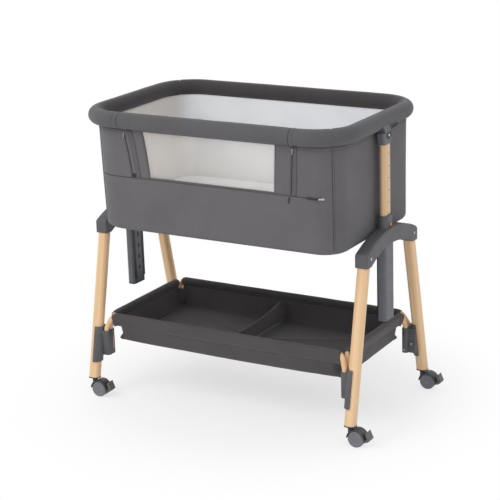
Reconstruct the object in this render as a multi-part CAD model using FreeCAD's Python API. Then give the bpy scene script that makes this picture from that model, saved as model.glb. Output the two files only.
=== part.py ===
import FreeCAD
import Part
import math
import os

from FreeCAD import Vector

# Bedside sleeper crib: a padded fabric bassinet with one drop side, carried at its two ends by
# sliding uprights in a wheeled stand, with a fabric storage basket between the legs.
# Millimetres.  Origin on the floor under the middle of the crib, +Z up, +X along the long side,
# -Y towards the drop side.

# ---------------------------------------------------------------- driving dimensions
# stand
leg_offset = 24.0             # leg centre line outside the rim's end
foot_y = 253.0                # leg centre at its cut foot
foot_z = 61.6                 # height of the cut foot
leg_lean = 12.2               # lean of the legs towards the middle, degrees from vertical
leg_size_x = 36.0             # flattened oval tube
leg_size_y = 30.0
leg_corner = 13.0
leg_wall = 2.0
leg_in_arch = 37.5            # how far the leg goes up into the arch sleeve
tube_fit = 0.15               # clearance of a tube in its socket, each side

arch_width = 42.0
arch_sleeve_z = 514.0         # lower edge of the leg sleeves
arch_shoulder_z = 553.0
arch_crown_z = 594.0
arch_under_z = 547.0          # underside at the crown
arch_corner = 12.0
arch_edge = 4.0
sleeve_wall = 2.2

# height adjustment
support_offset = 19.0         # centre line of uprights and posts outside the rim's end
upright_size_x = 20.0
upright_size_y = 45.0
upright_wall = 1.8
upright_bottom_z = 531.0
upright_slack = 0.3           # sliding clearance each side
level_pitch = 36.5
level_count = 6
mark_height = 2.0
mark_width = 11.0
mark_offset_y = 8.0
mark_depth = 0.6
collar_wall = 5.0
collar_top_z = 631.0
post_size_x = 28.0
post_size_y = 64.0
post_corner = 10.0
post_bottom_z = 309.0
post_in_arch = 28.0
post_end_height = 4.5
post_groove_y = 19.0
post_groove_width = 3.0
post_groove_depth = 1.6
post_hole = 8.0
top_level_hole_z = 537.9
button_radius = 6.0
button_z = 603.0
button_proud = 2.4
button_travel = 2.0
running_fit = 0.05

# caps that carry the rim
cap_drop = 28.0               # cap's upper edge under the rim's centre line
cap_height = 34.5
cap_wall = 2.5
cap_corner = 5.0
cap_flare_y = 8.0
cap_socket_depth = 27.5
hook_half_width = 20.0
hook_wall = 4.4
hook_play = 1.0               # free play of the rim tube in the right hook
cap_recess = 14.0
cap_recess_drop = 14.0        # centre of the recess under the cap's upper edge
cap_recess_depth = 1.8
hook_lip = 6.6                # thickness of the hook under the tube, at its inner lip

# rim and bassinet
rim_half_length = 430.0       # centre line of the rim tube
rim_half_width = 268.0
rim_corner = 109.0
rim_bend_step = 30.0          # degrees between the mitres of a corner
rim_z = 907.0
rim_tube_radius = 12.0
rim_tube_wall = 1.5
padding_radius = 27.5
padding_fit = 0.3
corner_to_cut = 32.0          # straight rim between a front corner and the drop side
drop_gap = 0.5
wall_inset_x = 12.0           # outer fabric walls inside the rim's centre line
wall_inset_y = 6.0
wall_depth = 344.0            # from the rim's centre line to the underside
wall_corner = 110.0
wall_thickness = 3.0
wall_bottom_bevel = 18.0
seam_drop = 175.0             # fold line and zip of the drop side under the rim's centre line
lining_gap = 1.5
lining_thickness = 2.5
board_thickness = 4.0
board_margin = 21.0
mattress_height = 44.0
mattress_margin = 10.0
mattress_corner = 20.0        # smallest corner radius of the crown
mattress_section = ((12.0, 0.0), (0.0, 0.3), (3.0, 0.75), (40.0, 1.0))    # inset, share of height
soft_gap = 0.3

# drop side
saddle_length = 18.0
stub_radius = 7.0
plug_length = 24.0
mouth_spare = 2.0             # opening of the padding beyond the saddle
window_left = -220.0
window_right = 231.0
window_top_drop = 37.0        # upper edge of the window under the rim's centre line
window_sill = 6.0             # lower edge of the window above the seam
window_thickness = 1.0
slider_size = (8.0, 4.0, 12.0)
pull_size = (20.0, 1.4, 5.0)
pull_tab_size = (6.0, 1.4, 22.0)
pull_angle = 26.5             # seam pull round the front right corner, degrees from the front
pull_tab_offset = 4.0         # tab of the side zip outside the cut

# storage basket
basket_tube_radius = 8.0
basket_rail_y = 204.0
basket_rail_offset = 42.0     # end rails inside the leg centre lines
basket_rail_z = 256.0
basket_bend = 22.0
basket_bend_step = 36.0       # degrees between the mitres of a bend
basket_long_turn = 49.0       # where the long rails turn down, inside the leg centre lines
basket_end_turn_y = 186.0
socket_long_offset = 33.0     # bores in each leg bracket, inside the leg centre lines
socket_end_offset = 34.0
socket_long_y = 220.0
socket_end_y = 200.0
socket_floor_z = 140.0
socket_turn_z = 217.0
basket_cloth = 2.5
basket_bottom_z = 174.0
basket_bottom_inset = 18.0
basket_waist_z = 214.0
basket_waist_inset = 8.0
basket_top_corner = 26.0
basket_waist_corner = 52.0
basket_bottom_corner = 24.0
hem_corner_gap = 26.0
notch_drop = 5.0              # lower end of the open corners below the waist
hem_cloth = 2.2
divider_x = -16.0
divider_thickness = 3.0
divider_rear_z = 240.0
divider_front_z = 228.0
divider_sag = 12.0

# leg brackets
saddle_bottom_z = 112.0
saddle_top_z = 222.0
saddle_wall = 4.5
socket_bottom_z = 130.0
socket_top_z = 210.0
socket_wall = 3.0
socket_slot = 9.0

# casters, in their own frame: stem axis at x = 0, wheel trailing towards +X
wheel_radius = 25.0
wheel_trail = 22.0
wheel_thickness = 12.3
wheel_inner_y = 4.7
web_half = 4.2
axle_radius = 3.0
hub_drop = 8.0                # web below the axle
fender_gap = 1.2
fender_wall = 2.6
fender_start = 12.0           # degrees round the wheel, from the pedal over the top
fender_end = 176.0
stem_radius = 4.0
stem_top_z = 74.0
boss_radius = 8.0
boss_gap = 0.1
plug_flange = 3.6
plug_insert = 13.0
plug_half = 8.0
plug_lip = 0.4
pedal_pivot = (53.0, 22.0)
pedal_pin_radius = 1.5
pedal_half_width = 12.0
pedal_arm = 4.0
pedal_side_gap = 0.4
# outlines round the pedal's pivot, in the XZ plane
paddle_outline = ((-0.5, 25.0), (5.5, 31.5), (16.0, 7.5), (12.5, 3.5), (5.0, 8.0))
pedal_arm_outline = ((-3.0, -3.0), (4.0, -3.5), (13.0, 3.5), (9.0, 9.0), (3.0, 5.0), (-3.0, 4.0))
# upper corners of the web under the hood, in hood radii from the axle
web_corners = ((0.8, 0.6), (0.3, 0.95), (-0.3, 0.95), (-0.8, 0.6))

# ---------------------------------------------------------------- values that follow
lean = math.tan(math.radians(leg_lean))
leg_level_half = leg_size_y / 2 / math.cos(math.radians(leg_lean))
leg_x = rim_half_length + leg_offset
support_x = rim_half_length + support_offset
leg_top_z = arch_sleeve_z + leg_in_arch
cap_top_z = rim_z - cap_drop
cap_bottom_z = cap_top_z - cap_height
cap_recess_z = cap_top_z - cap_recess_drop
upright_top_z = cap_bottom_z + cap_socket_depth
upright_half_x = upright_size_x / 2
upright_half_y = upright_size_y / 2
post_top_z = arch_under_z + post_in_arch
wheel_z = wheel_radius
plug_bottom_z = foot_z - plug_flange
arch_outer_x = leg_x + arch_width / 2
drop_half_length = rim_half_length - rim_corner - corner_to_cut
wall_half_length = rim_half_length - wall_inset_x
wall_half_width = rim_half_width - wall_inset_y
wall_bottom_z = rim_z - wall_depth
seam_z = rim_z - seam_drop
window_top_z = rim_z - window_top_drop
window_bottom_z = seam_z + window_sill
basket_rail_x = leg_x - basket_rail_offset
basket_long_turn_x = leg_x - basket_long_turn
socket_long = (leg_x - socket_long_offset, socket_long_y)
socket_end = (leg_x - socket_end_offset, socket_end_y)


def leg_y(z):
    """Distance of a leg's centre line from the middle plane at height z."""
    return foot_y - (z - foot_z) * lean


# ---------------------------------------------------------------- small helpers
def save(name, shape):
    shape.exportStep("parts/" + name + ".step")


def group(solids):
    return Part.makeCompound(solids)


def mirrored_x(shape):
    return shape.mirror(Vector(0, 0, 0), Vector(1, 0, 0))


def mirrored_y(shape):
    return shape.mirror(Vector(0, 0, 0), Vector(0, 1, 0))


def box(low, high):
    size = Vector(*high) - Vector(*low)
    return Part.makeBox(size.x, size.y, size.z, Vector(*low))


def cylinder(radius, start, end):
    run = Vector(*end) - Vector(*start)
    return Part.makeCylinder(radius, run.Length, Vector(*start), run)


def rounded_wire(half_x, half_y, radius, z, centre_x=0.0, centre_y=0.0):
    """Closed rounded rectangle in the plane at height z."""
    middle = Vector(centre_x, centre_y, z)
    inner_x = half_x - radius
    inner_y = half_y - radius
    slant = radius * math.sqrt(0.5)
    edges = []
    for turn in range(4):
        sign_x = (1, -1, -1, 1)[turn]
        sign_y = (1, 1, -1, -1)[turn]
        corner = middle + Vector(sign_x * inner_x, sign_y * inner_y, 0)
        along_x = corner + Vector(sign_x * radius, 0, 0)
        along_y = corner + Vector(0, sign_y * radius, 0)
        bulge = corner + Vector(sign_x * slant, sign_y * slant, 0)
        first, last = (along_x, along_y) if turn % 2 == 0 else (along_y, along_x)
        edges.append((first, bulge, last))
    parts = []
    for index, (first, bulge, last) in enumerate(edges):
        parts.append(Part.Arc(first, bulge, last).toShape())
        following = edges[(index + 1) % 4][0]
        if last.distanceToPoint(following) > 0.001:
            parts.append(Part.makeLine(last, following))
    return Part.Wire(parts)


def cut_corner_ring(half_x, half_y, corner, z):
    """Corner points of a rectangle with cut corners in the plane at height z."""
    points = []
    for sign_x, sign_y in ((1, 1), (-1, 1), (-1, -1), (1, -1)):
        near_end = Vector(sign_x * half_x, sign_y * (half_y - corner), z)
        near_side = Vector(sign_x * (half_x - corner), sign_y * half_y, z)
        points += [near_end, near_side] if sign_x == sign_y else [near_side, near_end]
    return points


def faceted_body(rings):
    """Closed body with flat faces between rings of corners, lowest ring first."""
    faces = [Part.Face(Part.makePolygon(ring + ring[:1])) for ring in (rings[0], rings[-1])]
    for lower, upper in zip(rings, rings[1:]):
        for index, corner in enumerate(lower):
            following = (index + 1) % len(lower)
            outline = [corner, lower[following], upper[following], upper[index], corner]
            faces.append(Part.Face(Part.makePolygon(outline)))
    shell = Part.makeShell(faces)
    shell.sewShape()
    return Part.makeSolid(shell)


def rounded_bar(half_x, half_y, radius, low_z, high_z, centre_x=0.0, centre_y=0.0):
    wire = rounded_wire(half_x, half_y, radius, low_z, centre_x, centre_y)
    return Part.Face(wire).extrude(Vector(0, 0, high_z - low_z))


def outline_xz(points, low_y, high_y):
    """Straight-sided outline in the XZ plane, extruded along Y."""
    corners = [Vector(x, low_y, z) for x, z in points]
    wire = Part.makePolygon(corners + corners[:1])
    return Part.Face(wire).extrude(Vector(0, high_y - low_y, 0))


def leg_bar(offset, low_z, high_z):
    """Rounded bar on the leg line of the quarter x > 0, y > 0, cut level at both ends."""
    half_x = leg_size_x / 2 + offset
    half_y = leg_size_y / 2 + offset
    spare = half_y
    bar = rounded_bar(half_x, half_y, leg_corner + offset,
                      low_z - foot_z - spare, high_z - foot_z + 2 * spare)
    bar.rotate(Vector(0, 0, 0), Vector(1, 0, 0), leg_lean)
    bar.translate(Vector(leg_x, foot_y, foot_z))
    reach = 2 * foot_y
    return bar.common(box((0, -reach, low_z), (leg_x * 2, reach * 2, high_z)))


def bent_run(points, bend_radius, step_angle):
    """Corner points replaced by short straight steps round bends of one radius."""
    points = [Vector(*point) for point in points]
    run = [points[0]]
    for before, corner, after in zip(points, points[1:], points[2:]):
        arriving = (corner - before).normalize()
        leaving = (after - corner).normalize()
        turn = arriving.getAngle(leaving)
        bend_start = corner - arriving * (bend_radius * math.tan(turn / 2))
        axis = arriving.cross(leaving).normalize()
        spoke = axis.cross(arriving) * -bend_radius
        centre = bend_start - spoke
        steps = max(1, round(math.degrees(turn) / step_angle))
        for step in range(steps + 1):
            swing = FreeCAD.Rotation(axis, math.degrees(turn) * step / steps)
            run.append(centre + swing.multVec(spoke))
    run.append(points[-1])
    return run


def rod_along(run, radius):
    """Round rod along a run of points, mitred at each of them."""
    headings = [(after - before).normalize() for before, after in zip(run, run[1:])]
    spare = 2 * radius
    pieces = []
    for index, heading in enumerate(headings):
        start = run[index]
        end = run[index + 1]
        first = index == 0
        last = index == len(headings) - 1
        from_point = start if first else start - heading * spare
        to_point = end if last else end + heading * spare
        piece = cylinder(radius, from_point, to_point)
        if not first:
            mitre = heading + headings[index - 1]
            piece = piece.cut(Part.makeCylinder(2 * spare, 2 * spare, start, mitre * -1))
        if not last:
            mitre = heading + headings[index + 1]
            piece = piece.cut(Part.makeCylinder(2 * spare, 2 * spare, end, mitre))
        pieces.append(piece)
    return pieces[0].multiFuse(pieces[1:])


# ---------------------------------------------------------------- stand
def leg():
    return leg_bar(0.0, foot_z, leg_top_z).cut(leg_bar(-leg_wall, foot_z, leg_top_z))


def leg_plug():
    """End plug that closes the leg's foot and takes the caster stem."""
    insert = box((leg_x - plug_half, foot_y - plug_half, foot_z),
                 (leg_x + plug_half, foot_y + plug_half, foot_z + plug_insert))
    flange = rounded_bar(leg_size_x / 2 + plug_lip, leg_level_half + plug_lip, leg_corner,
                         plug_bottom_z, foot_z, leg_x, foot_y)
    bore = cylinder(stem_radius + running_fit, (leg_x, foot_y, plug_bottom_z), (leg_x, foot_y, stem_top_z))
    return insert.fuse(flange).cut(bore)


def arch_profile():
    """Side outline of the arch: crowned top, leg sleeves at both ends, hollowed underside."""
    sleeve_half = leg_level_half + sleeve_wall
    outer_y = leg_y(arch_sleeve_z) + sleeve_half
    inner_y = leg_y(arch_sleeve_z) - sleeve_half
    x = leg_x - arch_width / 2
    inner_front = Vector(x, -inner_y, arch_sleeve_z)
    outer_front = Vector(x, -outer_y, arch_sleeve_z)
    shoulder_front = Vector(x, -outer_y, arch_shoulder_z)
    shoulder_rear = Vector(x, outer_y, arch_shoulder_z)
    outer_rear = Vector(x, outer_y, arch_sleeve_z)
    inner_rear = Vector(x, inner_y, arch_sleeve_z)
    crown = Vector(x, 0, arch_crown_z)
    hollow = Vector(x, 0, arch_under_z)
    edges = [
        Part.makeLine(inner_front, outer_front),
        Part.makeLine(outer_front, shoulder_front),
        Part.Arc(shoulder_front, crown, shoulder_rear).toShape(),
        Part.makeLine(shoulder_rear, outer_rear),
        Part.makeLine(outer_rear, inner_rear),
        Part.Arc(inner_rear, hollow, inner_front).toShape(),
    ]
    return Part.Face(Part.Wire(edges))


def arch():
    """Moulded arch of the right end, with the guide collar for the upright on its crown."""
    beam = arch_profile().extrude(Vector(arch_width, 0, 0))
    corners = [edge for edge in beam.Edges if edge.BoundBox.XLength > arch_width - 1
               and edge.BoundBox.ZMin > arch_shoulder_z - 1]
    beam = beam.makeFillet(arch_corner, corners)
    rims = [edge for edge in beam.Edges if edge.BoundBox.XLength < 0.01
            and edge.BoundBox.ZMax > arch_sleeve_z + 1]
    beam = beam.makeChamfer(arch_edge, rims)
    collar_x = upright_half_x + upright_slack + collar_wall
    collar_y = upright_half_y + upright_slack + collar_wall
    collar = rounded_bar(collar_x, collar_y, collar_x, post_top_z, collar_top_z, support_x)
    body = beam.fuse(collar).removeSplitter()
    channel_x = upright_half_x + upright_slack
    channel = rounded_bar(channel_x, upright_half_y + upright_slack, channel_x, arch_sleeve_z,
                          collar_top_z + 1, support_x)
    pocket = rounded_bar(post_size_x / 2 + tube_fit, post_size_y / 2 + tube_fit, post_corner,
                         arch_sleeve_z, post_top_z + tube_fit, support_x)
    socket = leg_bar(tube_fit, arch_sleeve_z - 1, leg_top_z + tube_fit)
    button_bore = cylinder(button_radius + running_fit, (support_x, 0, button_z), (arch_outer_x, 0, button_z))
    return body.cut(channel).cut(pocket).cut(socket).cut(mirrored_y(socket)).cut(button_bore)


def post():
    """Extruded guide post under the arch of the right end, with the row of level holes."""
    outer = rounded_bar(post_size_x / 2, post_size_y / 2, post_corner, post_bottom_z, post_top_z, support_x)
    channel_x = upright_half_x + upright_slack
    channel = rounded_bar(channel_x, upright_half_y + upright_slack, channel_x, post_bottom_z,
                          post_top_z, support_x)
    body = outer.cut(channel)
    face_x = support_x - post_size_x / 2
    for side in (-1, 1):
        middle = side * post_groove_y
        groove = box((face_x - 1, middle - post_groove_width / 2, post_bottom_z),
                     (face_x + post_groove_depth, middle + post_groove_width / 2, arch_sleeve_z))
        body = body.cut(groove)
    half = post_hole / 2
    for level in range(level_count):
        z = top_level_hole_z - level * level_pitch
        body = body.cut(box((face_x - 1, -half, z - half), (support_x, half, z + half)))
    return body


def post_end_cap():
    return rounded_bar(post_size_x / 2, post_size_y / 2, post_corner, post_bottom_z - post_end_height,
                       post_bottom_z, support_x)


def bracket():
    """Leg bracket: a saddle round the inner half of the leg and a block with two tube sockets."""
    shell = leg_bar(saddle_wall, saddle_bottom_z, saddle_top_z)
    saddle = shell.common(box((leg_x - leg_size_x, 0, saddle_bottom_z), (leg_x, 2 * foot_y, saddle_top_z)))
    block_half_x = basket_tube_radius + socket_wall
    middle_x = (socket_long[0] + socket_end[0]) / 2
    middle_y = (socket_long[1] + socket_end[1]) / 2
    block_half_y = block_half_x + (socket_long[1] - socket_end[1]) / 2
    block = rounded_bar(block_half_x, block_half_y, block_half_x, socket_bottom_z, socket_top_z,
                        middle_x, middle_y)
    web = box((middle_x, middle_y - block_half_x, socket_bottom_z),
              (leg_x, socket_long[1] + block_half_x, socket_top_z))
    body = saddle.fuse(block).fuse(web).removeSplitter()
    body = body.cut(leg_bar(tube_fit, saddle_bottom_z - 1, saddle_top_z + 1))
    for x, y in (socket_long, socket_end):
        bore = cylinder(basket_tube_radius + tube_fit, (x, y, socket_floor_z), (x, y, socket_top_z + 1))
        body = body.cut(bore)
    x, y = socket_end
    slot = box((x - 2 * block_half_x, y - socket_slot / 2, socket_floor_z + socket_wall),
               (x, y + socket_slot / 2, socket_top_z - socket_wall))
    return body.cut(slot)


# ---------------------------------------------------------------- storage basket
def long_tube_run():
    """Run of the rear rail, from one leg bracket up, along X and down into the other."""
    x, y = socket_long
    corners = [(-x, y, socket_floor_z), (-x, y, socket_turn_z),
               (-basket_long_turn_x, basket_rail_y, basket_rail_z),
               (basket_long_turn_x, basket_rail_y, basket_rail_z),
               (x, y, socket_turn_z), (x, y, socket_floor_z)]
    return bent_run(corners, basket_bend, basket_bend_step)


def end_tube_run():
    """Run of the right end rail, along Y between the two right brackets."""
    x, y = socket_end
    corners = [(x, -y, socket_floor_z), (x, -y, socket_turn_z),
               (basket_rail_x, -basket_end_turn_y, basket_rail_z),
               (basket_rail_x, basket_end_turn_y, basket_rail_z),
               (x, y, socket_turn_z), (x, y, socket_floor_z)]
    return bent_run(corners, basket_bend, basket_bend_step)


def tray(shrink):
    """Closed body of the basket's tray, drawn in at its corners, smaller by shrink on every side."""
    rings = []
    for inset, corner, z in (
            (basket_bottom_inset, basket_bottom_corner, basket_bottom_z + shrink),
            (basket_waist_inset, basket_waist_corner, basket_waist_z),
            (0.0, basket_top_corner, basket_rail_z)):
        half_x = basket_rail_x + basket_cloth / 2 - inset - shrink
        half_y = basket_rail_y + basket_cloth / 2 - inset - shrink
        rings.append(cut_corner_ring(half_x, half_y, corner - shrink, z))
    return faceted_body(rings)


def storage_basket():
    """Hanging fabric tray with a hem round each rail tube, open at the corners for the bends."""
    cloth = tray(0.0).cut(tray(basket_cloth))
    hem_radius = basket_tube_radius + soft_gap + hem_cloth
    long_end = basket_long_turn_x - hem_corner_gap
    short_end = basket_end_turn_y - hem_corner_gap
    for side in (-1, 1):
        y = side * basket_rail_y
        x = side * basket_rail_x
        long_hem = cylinder(hem_radius, (-long_end, y, basket_rail_z), (long_end, y, basket_rail_z))
        end_hem = cylinder(hem_radius, (x, -short_end, basket_rail_z), (x, short_end, basket_rail_z))
        cloth = cloth.fuse(long_hem).fuse(end_hem)
    notch = cylinder(basket_rail_x - long_end, (basket_rail_x, basket_rail_y, basket_waist_z - notch_drop),
                     (basket_rail_x, basket_rail_y, basket_rail_z + 2 * hem_radius))
    for corner in (notch, mirrored_x(notch)):
        cloth = cloth.cut(corner).cut(mirrored_y(corner))
    bore_radius = basket_tube_radius + soft_gap
    long_bore = cylinder(bore_radius, (-basket_rail_x, basket_rail_y, basket_rail_z),
                         (basket_rail_x, basket_rail_y, basket_rail_z))
    end_bore = cylinder(bore_radius, (basket_rail_x, -basket_rail_y, basket_rail_z),
                        (basket_rail_x, basket_rail_y, basket_rail_z))
    cloth = cloth.cut(long_bore).cut(mirrored_y(long_bore)).cut(end_bore).cut(mirrored_x(end_bore))
    return max(cloth.Solids, key=lambda solid: solid.Volume)


def basket_divider():
    """Cloth wall across the basket with a slack top edge."""
    half = basket_rail_y - basket_bottom_inset - 2 * basket_cloth
    low_z = basket_bottom_z + basket_cloth + soft_gap
    x = divider_x
    rear = Vector(x, half, divider_rear_z)
    front = Vector(x, -half, divider_front_z)
    slack = Vector(x, 0, (divider_rear_z + divider_front_z) / 2 - divider_sag)
    edges = [
        Part.makeLine(Vector(x, -half, low_z), Vector(x, half, low_z)),
        Part.makeLine(Vector(x, half, low_z), rear),
        Part.Arc(rear, slack, front).toShape(),
        Part.makeLine(front, Vector(x, -half, low_z)),
    ]
    return Part.Face(Part.Wire(edges)).extrude(Vector(divider_thickness, 0, 0))


# ---------------------------------------------------------------- uprights, caps and buttons
def upright():
    bar = rounded_bar(upright_half_x, upright_half_y, upright_half_x, upright_bottom_z, upright_top_z,
                      support_x)
    core = rounded_bar(upright_half_x - upright_wall, upright_half_y - upright_wall,
                       upright_half_x - upright_wall, upright_bottom_z, upright_top_z, support_x)
    bar = bar.cut(core)
    face_x = support_x + upright_half_x
    for level in range(level_count):
        z = collar_top_z + level * level_pitch
        mark = box((face_x - mark_depth, mark_offset_y - mark_width / 2, z),
                   (face_x + 1, mark_offset_y + mark_width / 2, z + mark_height))
        bar = bar.cut(mark)
    return bar


def cap(hook_radius):
    """Cap on top of the right upright, flared in Y, with an open hook that carries the rim tube."""
    half_y = upright_half_y + cap_wall
    outer_x = support_x + upright_half_x + cap_wall
    inner_x = support_x - upright_half_x - cap_wall
    corners = [Vector(inner_x, y, z) for y, z in (
        (-half_y, cap_bottom_z), (half_y, cap_bottom_z), (half_y + cap_flare_y, cap_top_z),
        (-half_y - cap_flare_y, cap_top_z))]
    sleeve = Part.Face(Part.makePolygon(corners + corners[:1])).extrude(Vector(outer_x - inner_x, 0, 0))
    upright_edges = [edge for edge in sleeve.Edges if edge.BoundBox.ZLength > 1]
    sleeve = sleeve.makeChamfer(cap_corner, upright_edges)
    arm = hook_radius + hook_wall
    lip_x = rim_half_length - arm
    back_x = outer_x - 1
    hook = outline_xz([(inner_x, upright_top_z), (back_x, upright_top_z), (back_x, cap_top_z + 2 * hook_wall),
                       (rim_half_length + arm, rim_z), (lip_x, rim_z), (lip_x, rim_z - 2 * hook_wall),
                       (lip_x + hook_lip, rim_z - arm), (inner_x, cap_top_z + 1)],
                      -hook_half_width, hook_half_width)
    socket = rounded_bar(upright_half_x + tube_fit, upright_half_y + tube_fit, upright_half_x + tube_fit,
                         cap_bottom_z - 1, upright_top_z + tube_fit, support_x)
    bore = cylinder(hook_radius, (rim_half_length, -2 * hook_half_width, rim_z),
                    (rim_half_length, 2 * hook_half_width, rim_z))
    half = cap_recess / 2
    recess = box((outer_x - cap_recess_depth, -half, cap_recess_z - half),
                 (outer_x + 1, half, cap_recess_z + half))
    return sleeve.fuse(hook).removeSplitter().cut(socket).cut(bore).cut(recess)


def button():
    """Round release button in the collar's outer wall."""
    outer_x = support_x + upright_half_x + upright_slack + collar_wall + button_proud
    inner_x = support_x + upright_half_x + button_travel + upright_slack
    return cylinder(button_radius, (inner_x, 0, button_z), (outer_x, 0, button_z))


# ---------------------------------------------------------------- rim
def rim_run():
    """Rim centre line from the front right cut, round the back, to the front left cut."""
    cut_x = drop_half_length + drop_gap
    length = rim_half_length
    width = rim_half_width
    corners = [(cut_x, -width, rim_z), (length, -width, rim_z), (length, width, rim_z),
               (-length, width, rim_z), (-length, -width, rim_z), (-cut_x, -width, rim_z)]
    return bent_run(corners, rim_corner, rim_bend_step)


def rim_tube():
    """Rim tube, bored at its two cut ends for the plugs."""
    start = drop_half_length + drop_gap
    bore = cylinder(rim_tube_radius - rim_tube_wall, (start, -rim_half_width, rim_z),
                    (start + plug_length, -rim_half_width, rim_z))
    return rod_along(rim_run(), rim_tube_radius).cut(bore).cut(mirrored_x(bore))


def rim_end_plug():
    """Plug in the right end of the rim tube, with the stub that the drop rail sits on."""
    start = drop_half_length + drop_gap
    y = -rim_half_width
    body = cylinder(rim_tube_radius - rim_tube_wall - running_fit, (start, y, rim_z),
                    (start + plug_length, y, rim_z))
    stub = cylinder(stub_radius, (start - saddle_length, y, rim_z), (start, y, rim_z))
    return body.fuse(stub).removeSplitter()


def rim_padding():
    run = rim_run()
    pad = rod_along(run, padding_radius).cut(rod_along(run, rim_tube_radius + padding_fit))
    arm = rim_tube_radius + hook_play + hook_wall
    room = 2 * hook_play
    slot = box((rim_half_length - arm - room, -hook_half_width - room, rim_z - 2 * padding_radius),
               (rim_half_length + 2 * padding_radius, hook_half_width + room, rim_z + room))
    return pad.cut(slot).cut(mirrored_x(slot))


# ---------------------------------------------------------------- bassinet
def walled_body(shrink, top_z):
    """Closed body inside the bassinet's outer wall, smaller by shrink on every side."""
    half_x = wall_half_length - shrink
    half_y = wall_half_width - shrink
    body = rounded_bar(half_x, half_y, wall_corner - shrink, wall_bottom_z + shrink, top_z)
    low = [edge for edge in body.Edges if edge.BoundBox.ZMax < wall_bottom_z + shrink + 0.1]
    return body.makeChamfer(wall_bottom_bevel - shrink, low)


def height_under_padding(offset):
    """Height at which a wall that stands offset inside the rim's centre line ends under the padding."""
    return rim_z - math.sqrt(padding_radius ** 2 - offset ** 2) - soft_gap


def drop_opening(low_z):
    return box((-drop_half_length - drop_gap, -2 * wall_half_width, low_z),
               (drop_half_length + drop_gap, -wall_half_width / 2, rim_z))


def outer_skirt():
    shell = walled_body(0.0, height_under_padding(wall_inset_y)).cut(walled_body(wall_thickness, rim_z))
    return shell.cut(drop_opening(seam_z))


def inner_lining():
    """Lining inside the walls, from the mattress up to the padding."""
    outer = wall_thickness + lining_gap
    inner = outer + lining_thickness
    low_z = wall_bottom_z + wall_bottom_bevel + 1
    top_z = height_under_padding(wall_inset_y + outer)
    ring = rounded_bar(wall_half_length - outer, wall_half_width - outer, wall_corner - outer, low_z, top_z)
    hole = rounded_bar(wall_half_length - inner, wall_half_width - inner, wall_corner - inner, low_z, top_z)
    return ring.cut(hole).cut(drop_opening(seam_z))


def base_board():
    low_z = wall_bottom_z + wall_thickness + soft_gap
    inset = wall_thickness + board_margin
    return rounded_bar(wall_half_length - inset, wall_half_width - inset, wall_corner - inset,
                       low_z, low_z + board_thickness)


def mattress():
    """Mattress with drawn-in edges and a crowned top."""
    low_z = wall_bottom_z + wall_thickness + board_thickness + 2 * soft_gap
    wires = []
    for inset, rise in mattress_section:
        margin = wall_thickness + mattress_margin + inset
        wires.append(rounded_wire(wall_half_length - margin, wall_half_width - margin,
                                  max(wall_corner - margin, mattress_corner),
                                  low_z + rise * mattress_height))
    return Part.makeLoft(wires, True, True)


def seam_pulls():
    """Slider and pull of the seam zip round the front right corner, and the tab of the side zip."""
    face_y = -wall_half_width - soft_gap
    corner_x = wall_half_length - wall_corner
    corner_y = wall_corner - wall_half_width
    half_tall = slider_size[0] / 2
    middle_y = face_y - slider_size[1] / 2
    middle_z = seam_z - half_tall
    slider = box((corner_x, face_y - slider_size[1], middle_z - half_tall),
                 (corner_x + slider_size[2], face_y, middle_z + half_tall))
    strip = box((corner_x - pull_size[0], middle_y - pull_size[1] / 2, middle_z - pull_size[2] / 2),
                (corner_x, middle_y + pull_size[1] / 2, middle_z + pull_size[2] / 2))
    pull = slider.fuse(strip).removeSplitter()
    pull.rotate(Vector(corner_x, corner_y, 0), Vector(0, 0, 1), pull_angle)
    tab_top_z = seam_z - half_tall
    tab_x = drop_half_length + pull_tab_offset
    wide, deep, tall = pull_tab_size
    tab = box((tab_x - wide / 2, face_y - deep, tab_top_z - tall), (tab_x + wide / 2, face_y, tab_top_z))
    return group([pull, tab])


# ---------------------------------------------------------------- drop side
def rail_saddle():
    """End fitting of the drop rail, open towards the bassinet so that it leaves the stub."""
    end_x = drop_half_length - drop_gap
    head_x = end_x - saddle_length
    y = -rim_half_width
    body = cylinder(rim_tube_radius, (head_x, y, rim_z), (end_x, y, rim_z))
    insert = cylinder(rim_tube_radius - rim_tube_wall - running_fit, (head_x - plug_length, y, rim_z),
                      (head_x, y, rim_z))
    clear = stub_radius + running_fit
    bore = cylinder(clear, (head_x, y, rim_z), (end_x, y, rim_z))
    mouth = box((head_x, y, rim_z - clear), (end_x, y + 2 * rim_tube_radius, rim_z + clear))
    return body.fuse(insert).removeSplitter().cut(bore).cut(mouth)


def drop_rail_tube():
    end_x = drop_half_length - drop_gap - saddle_length
    y = -rim_half_width
    outer = cylinder(rim_tube_radius, (-end_x, y, rim_z), (end_x, y, rim_z))
    return outer.cut(cylinder(rim_tube_radius - rim_tube_wall, (-end_x, y, rim_z), (end_x, y, rim_z)))


def drop_rail_padding():
    end_x = drop_half_length - drop_gap
    y = -rim_half_width
    pad = cylinder(padding_radius, (-end_x, y, rim_z), (end_x, y, rim_z))
    pad = pad.cut(cylinder(rim_tube_radius + padding_fit, (-end_x, y, rim_z), (end_x, y, rim_z)))
    clear = stub_radius + padding_fit
    mouth = box((end_x - saddle_length - mouth_spare, y, rim_z - clear),
                (end_x + mouth_spare, y + 2 * padding_radius, rim_z + clear))
    return pad.cut(mouth).cut(mirrored_x(mouth))


def drop_panel():
    """Fabric frame of the drop side round the mesh window."""
    half = drop_half_length - drop_gap
    outer_y = -wall_half_width
    panel = box((-half, outer_y, seam_z + soft_gap),
                (half, outer_y + wall_thickness, height_under_padding(wall_inset_y)))
    window = box((window_left, outer_y - 1, window_bottom_z),
                 (window_right, outer_y + 2 * wall_thickness, window_top_z))
    return panel.cut(window)


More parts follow.
